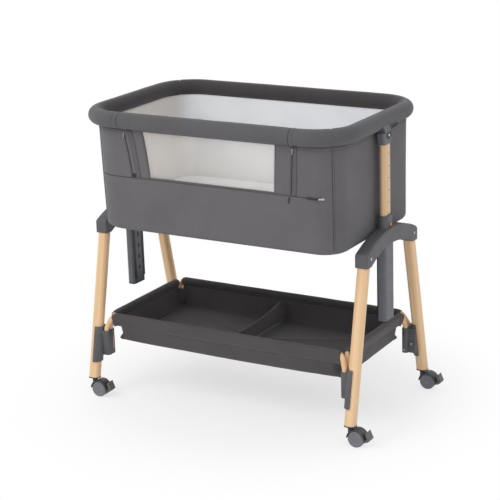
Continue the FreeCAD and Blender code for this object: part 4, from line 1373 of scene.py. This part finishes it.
def trayPoint(stop, share):
    x, y, turn, along = stop
    top = trayEdge(stop)
    z = basket["bottom"] + (top - basket["bottom"]) * share
    height = (z - basket["bottom"]) / (basket["rail"][2] - basket["bottom"])
    slope = basket["inset"] * (1 - height) ** 1.2 + 0.005 * max(0.0, 1 - share / 0.12) ** 2
    middle = max(1 - (value / half) ** 2 for value, half in zip((x, y), basket["half"]))
    z -= basket["droop"] * (1 - share) * max(middle, 0.0) ** 0.7
    corner = bend(turn)
    slope += corner * 0.010 * math.sin(math.pi * min(height * 1.3, 1))
    ear = 0.011 * max(0.0, corner - 0.55) / 0.45 * math.exp(-((z - basket["bottom"] - 0.004) / 0.010) ** 2)
    belly = 0.0034 * wobble(along * 5, z * 9, 6.1)
    belly += 0.0012 * wobble(along * 21, z * 18, 2)
    reach = ear + belly - slope
    return Vector((x + math.cos(turn) * reach, y + math.sin(turn) * reach, z))


def basketFloorDrop(x, y):
    half, halfY = basket["floor"]
    left, right = -half, basket["divider"]
    if x > basket["divider"]:
        left, right = basket["divider"], half
    across = math.sin(math.pi * min(max((x - left) / (right - left), 0), 1))
    along = math.sin(math.pi * min(max((y + halfY) / (2 * halfY), 0), 1))
    crease = wobble(x * 7, y * 7, 9.4) * 0.0016
    return basket["sag"] * across * along + crease * along


def makeBasketCloth():
    facts = basket
    stops, around = ringStops(*facts["half"], [facts["corner"]] * 2, 0.0085)
    shares = [i / 11 for i in range(12)]

    def wallPlace(stop, share):
        spot = trayPoint(stop, share)
        return spot, (stop[3], spot.z)

    parts = [make("trayWall", clothMesh("trayWall", stops, shares, wallPlace, closed=around))]

    def floorPlace(stop, share):
        edge = trayPoint(stop, 0.0)
        spot = Vector((edge.x * (1 - share), edge.y * (1 - share), edge.z))
        spot.z -= basketFloorDrop(spot.x, spot.y)
        return spot, (spot.x, spot.y)

    shrink = [0.0, 0.03, 0.07, 0.13, 0.2, 0.28, 0.37, 0.47, 0.58, 0.69, 0.8, 0.9, 0.97]
    mesh = clothMesh("trayFloor", stops[::-1], shrink, floorPlace, closed=0.0001)
    parts.append(make("trayFloor", shadeSmooth(closeMiddle(mesh, 0.05, outward=False))))
    tray = join("basketCloth", parts)
    with editing(tray.data) as weld:
        bmesh.ops.remove_doubles(weld, verts=weld.verts, dist=facts["weld"])
        bmesh.ops.recalc_face_normals(weld, faces=weld.faces)
    thicken(tray, facts["cloth"])
    hems = []
    railX, railY, railZ = facts["rail"]
    radius = facts["hemRadius"]
    turns = [math.radians(angle) for angle in range(-6, 223, 12)]
    section = [(radius * math.cos(turn), radius * math.sin(turn)) for turn in turns]
    section = [(-0.0034, -0.034), (0.0010, -0.024), (0.0060, -0.012)] + section + [(-0.0050, -0.0150)]
    lengths = [0.0]
    for a, b in zip(section, section[1:]):
        lengths.append(lengths[-1] + math.dist(a, b))
    for side, alongX in ((1, True), (-1, True), (1, False), (-1, False)):
        end = facts["hem"][0 if alongX else 1]
        steps = heights(-end, end, 0.010)
        straight = facts["turns"][0 if alongX else 1] - 0.0152

        def hemPlace(step, index):
            out, up = section[index]
            share = 1 + 0.07 * wobble(step * 14, index * 0.35, side * 3.0 + (5 if alongX else 0))
            out, up = out * share, up * share
            past = max(0.0, abs(step) - straight)      # the sleeve follows the rail round its bend
            bent = facts["bend"] - math.sqrt(max(0.0, facts["bend"] ** 2 - past ** 2))
            out, up = out + bent * 0.38, up - bent * 0.92
            if alongX:
                return Vector((step, side * (railY + out), railZ + up)), (step, lengths[index])
            return Vector((side * (railX + out), step, railZ + up)), (step, lengths[index])

        hem = make("hem", clothMesh("hem", steps, list(range(len(section))), hemPlace))
        if (side > 0) == alongX:
            hem.data.flip_normals()
        hems.append(thicken(hem, facts["hemCloth"]))
    cloth = join("basketCloth", [tray] + hems)
    dress(cloth, "basket", "root", "storage_basket")


def makeDivider():
    half, low = basket["dividerSize"]
    columns = heights(-half, half, 0.009)
    shares = [i / 9 for i in range(10)]

    def place(y, share):
        t = (y + half) / (2 * half)
        top = 0.228 + (0.240 - 0.228) * t - 0.012 * math.sin(math.pi * t)
        z = low + (top - low) * share
        lean = 0.0035 * math.sin(math.pi * t) * share + 0.0012 * wobble(y * 12, z * 20, 1)
        return Vector((basket["divider"] + lean, y, z)), (y, z)

    hang("basketDivider", clothMesh("basketDivider", columns, shares, place), "divider", 0.0026, "root",
         "basket_fabric", ["basket_divider"], offset=0.0, flat=(0.36, 0.065), area=0.0195, held="hung",
         rests_on=["basketCloth"])
    top = [place(y, 1.0)[0] for y in columns]
    pipe("dividerHem", top, "root", "basket_fabric", "divider", 0.0042, sides=12)


makeBasketRails()
makeBasketCloth()
makeDivider()
print("basket made")


def paintNodes(material, *names):
    for name in names:
        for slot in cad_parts[name].material_slots:
            slot.material = paints[material]


corners = ["front_left", "front_right", "rear_left", "rear_right"]
pairs = {"upright": "upright", "grey": "arch", "post": "post", "cap": "cap", "copper": "button"}
for material, node in pairs.items():
    paintNodes(material, "left_" + node, "right_" + node)
for place in corners:
    paintNodes("woodFront" if "front" in place else "woodRear", place + "_leg")
    for material, node in (("grey", "_bracket"), ("hood", "_caster_housing"), ("wheel", "_caster_wheels"),
                           ("pedal", "_caster_pedal")):
        paintNodes(material, place + node)
paintNodes("dark", "leg_end_plugs", "post_end_caps")
paintNodes("rod", "rim_tube", "rim_end_plugs", "drop_rail_tube", "drop_rail_saddles")
paintNodes("board", "base_board")
paintNodes("steel", "seam_zip_pulls", "side_zip_sliders")


def softEdges(width, *names):
    # the sharp edges of moulded parts, rounded as a mould leaves them
    for name in names:
        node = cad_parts[name]
        weld = node.modifiers.new("weld", "WELD")
        weld.merge_threshold = 0.00002
        edge = node.modifiers.new("edge", "BEVEL")
        edge.width = width
        edge.segments = 2
        edge.limit_method = "ANGLE"
        edge.angle_limit = math.radians(34)
        edge.harden_normals = True


for node, width in (("_bracket", 0.0012), ("_caster_housing", 0.0010), ("_caster_pedal", 0.0012)):
    softEdges(width, *[place + node for place in corners])
softEdges(0.0010, "left_cap", "right_cap")
softEdges(0.0014, "left_arch", "right_arch")
print("frame parts painted")

screw = {
    "head": 0.0042,
    "tall": 0.0022,
    "key": 0.0019,
    "arch": (0.4750, 0.148, 0.538),
    "bracket": 0.1890,
    "brackets": ((0.4440, 0.163), (0.4200, 0.140)),
}


def screwShape():
    # domed head with a hexagon recess
    head, tall, key = screw["head"], screw["tall"], screw["key"]
    profile = [(0.0001, 0.0), (head, 0.0), (head, tall * 0.25), (head * 0.86, tall * 0.66),
               (head * 0.62, tall * 0.94), (key * 1.12, tall, 6), (key, tall * 0.95, 6), (key, tall * 0.3, 6),
               (0.0001, tall * 0.2)]
    return make("screwShape", turned("screwShape", profile, 24))


shapes["screw"] = screwShape()


def signs():
    return [(place, 1 if "right" in place else -1, 1 if "rear" in place else -1) for place in corners]


def makeScrews():
    x, y, z = screw["arch"]
    arch = [((side * x, end * y, z), (side, 0, 0)) for side in (1, -1) for end in (-1, 1)]
    bracket = [((sideX * x, sideY * screw["bracket"], z), (0, -sideY, 0)) for _, sideX, sideY in signs()
               for x, z in screw["brackets"]]
    for name, spots, material in (("archScrews", arch, "steel"), ("bracketScrews", bracket, "rod")):
        grow(name, "scatter", track(*zip(*spots)), "root", "fitting_plastic", shape=shapes["screw"],
             seed=sewing["seed"], material=paints[material])


wheel = {
    "radius": 0.025,
    "trail": 0.022,
    "inner": 0.0047,
    "thick": 0.0123,
    "leg": (0.454, 0.253),
}


def wheelMesh(side):
    # one wheel, turned: rounded tread, shallow ring and a hub boss on its outer face
    radius, thick = wheel["radius"], wheel["thick"]
    profile = [(0.0001, 0.0006), (0.0060, 0.0006), (0.0068, 0.0), (radius - 0.0016, 0.0),
               (radius - 0.0004, 0.0006), (radius, 0.0020)]
    profile += [(radius - away, thick - below) for away, below in (
        (0.0, 0.0042), (0.0006, 0.0022), (0.0022, 0.0006), (0.0040, 0.0), (0.0052, 0.0007))]
    profile += [(reach, thick - below) for reach, below in (
        (0.0090, 0.0010), (0.0082, 0.0002), (0.0046, 0.0001), (0.0040, 0.0008), (0.0001, 0.0008))]
    mesh = turned("wheel", profile, 56)
    turn = Matrix.Rotation(math.radians(-90 * side), 4, "X")
    return placed(mesh, Matrix.Translation((0, side * wheel["inner"], 0)) @ turn)


def makeWheels():
    legX, legY = wheel["leg"]
    for place, sideX, sideY in signs():
        axle = turned("axle", ((0.0030, -0.0050), (0.0030, 0.0050)), 20)
        placed(axle, Matrix.Rotation(math.radians(90), 4, "X"))
        meshes = [wheelMesh(1), wheelMesh(-1), axle]
        spot = Matrix.Translation((sideX * legX + wheel["trail"], sideY * legY, wheel["radius"]))
        words = place.split("_")
        name = words[0] + words[1].capitalize() + "Wheels"
        pair = gather(name, [placed(mesh, spot) for mesh in meshes], paints["wheel"], place + "_wheels",
                      30)
        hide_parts(place + "_caster_wheels")


posts = {
    "levels": 6,
    "pitch": 0.0365,
    "marks": (0.4584, 0.008, 0.632),      # the lowest mark on the upright's outer face
    "post": 0.4350,                       # the post's inner face
    "topHole": 0.5379,
    # half length and half width of each strip of painted shade in the lanes
    "lane": (0.118, 0.0054),
    "laneMiddle": (0.0232, 0.441),
    "cap": (0.4615, 0.003, 0.8700),       # the middle of the cap's recess
    "pin": ((0.0001, 0.0), (0.0042, 0.0), (0.0040, 0.0014), (0.0026, 0.0022), (0.0001, 0.0024)),
}


def fitting(name, meshes, material, body):
    gather(name, meshes, paints[material], body)


def makeMarks():
    # printed level marks let into the outer faces of the uprights
    x, y, low = posts["marks"]
    for side, name in ((1, "right"), (-1, "left")):
        meshes = []
        for level in range(posts["levels"]):
            mesh = block("mark", oblong(0.0058 - 0.0012 * (level % 2), 0.0030, 0.0008, 2), -0.0003, 0.0003)
            spot = (side * x, y, low + level * posts["pitch"])
            meshes.append(placed(mesh, facing(spot, (side, 0, 0))))
        fitting(name + "LevelMarks", meshes, "dark", name + "_upright_slide")


def makePostLaneShade():
    # painted shade: dark strips in the two lanes beside the level holes stand in for the shade deep in the
    # channel, and a dark plate round each hole draws it as a longer slot with the shade inside
    laneY, laneZ = posts["laneMiddle"]
    for side, name in ((1, "right"), (-1, "left")):
        turn = Matrix(((0, 0, -side, 0), (0, 1, 0, 0), (side, 0, 0, 0), (0, 0, 0, 1)))
        meshes = []
        for y in (-laneY, laneY):
            lane = block("lane", oblong(*posts["lane"], 0.0010, 2), 0.0, 0.0006)
            meshes.append(placed(lane, Matrix.Translation((side * posts["post"], y, laneZ)) @ turn))
        for level in range(posts["levels"]):
            plate = block("plate", oblong(0.0072, 0.0046, 0.0044, 4), 0.0, 0.0007)
            spot = (side * (posts["post"] + 0.0002), 0, posts["topHole"] - level * posts["pitch"])
            meshes.append(placed(plate, Matrix.Translation(spot) @ turn))
        fitting(name + "PostLanes", meshes, "dark", "root")


def makeHookPins():
    # the dark window in each cap with the head of the pin that holds the hook
    x, y, z = posts["cap"]
    for side, name in ((1, "right"), (-1, "left")):
        window = block("capWindow", oblong(0.0165, 0.0078, 0.0020, 3), -0.0004, 0.0006, 0.0002)
        pin = turned("pin", posts["pin"], 20)
        for piece, mesh, spot, material in (("CapWindow", window, (side * x, y, z), "dark"),
                                            ("HookPin", pin, (side * (x + 0.0005), y - 0.001, z), "steel")):
            mesh = placed(mesh, facing(spot, (side, 0, 0), (0, 1, 0)))
            fitting(name + piece, [mesh], material, name + "_upright_slide")


makeScrews()
makeWheels()
makeMarks()
makePostLaneShade()
makeHookPins()
print("fittings made")
for shape in shapes.values():
    bpy.data.objects.remove(shape)
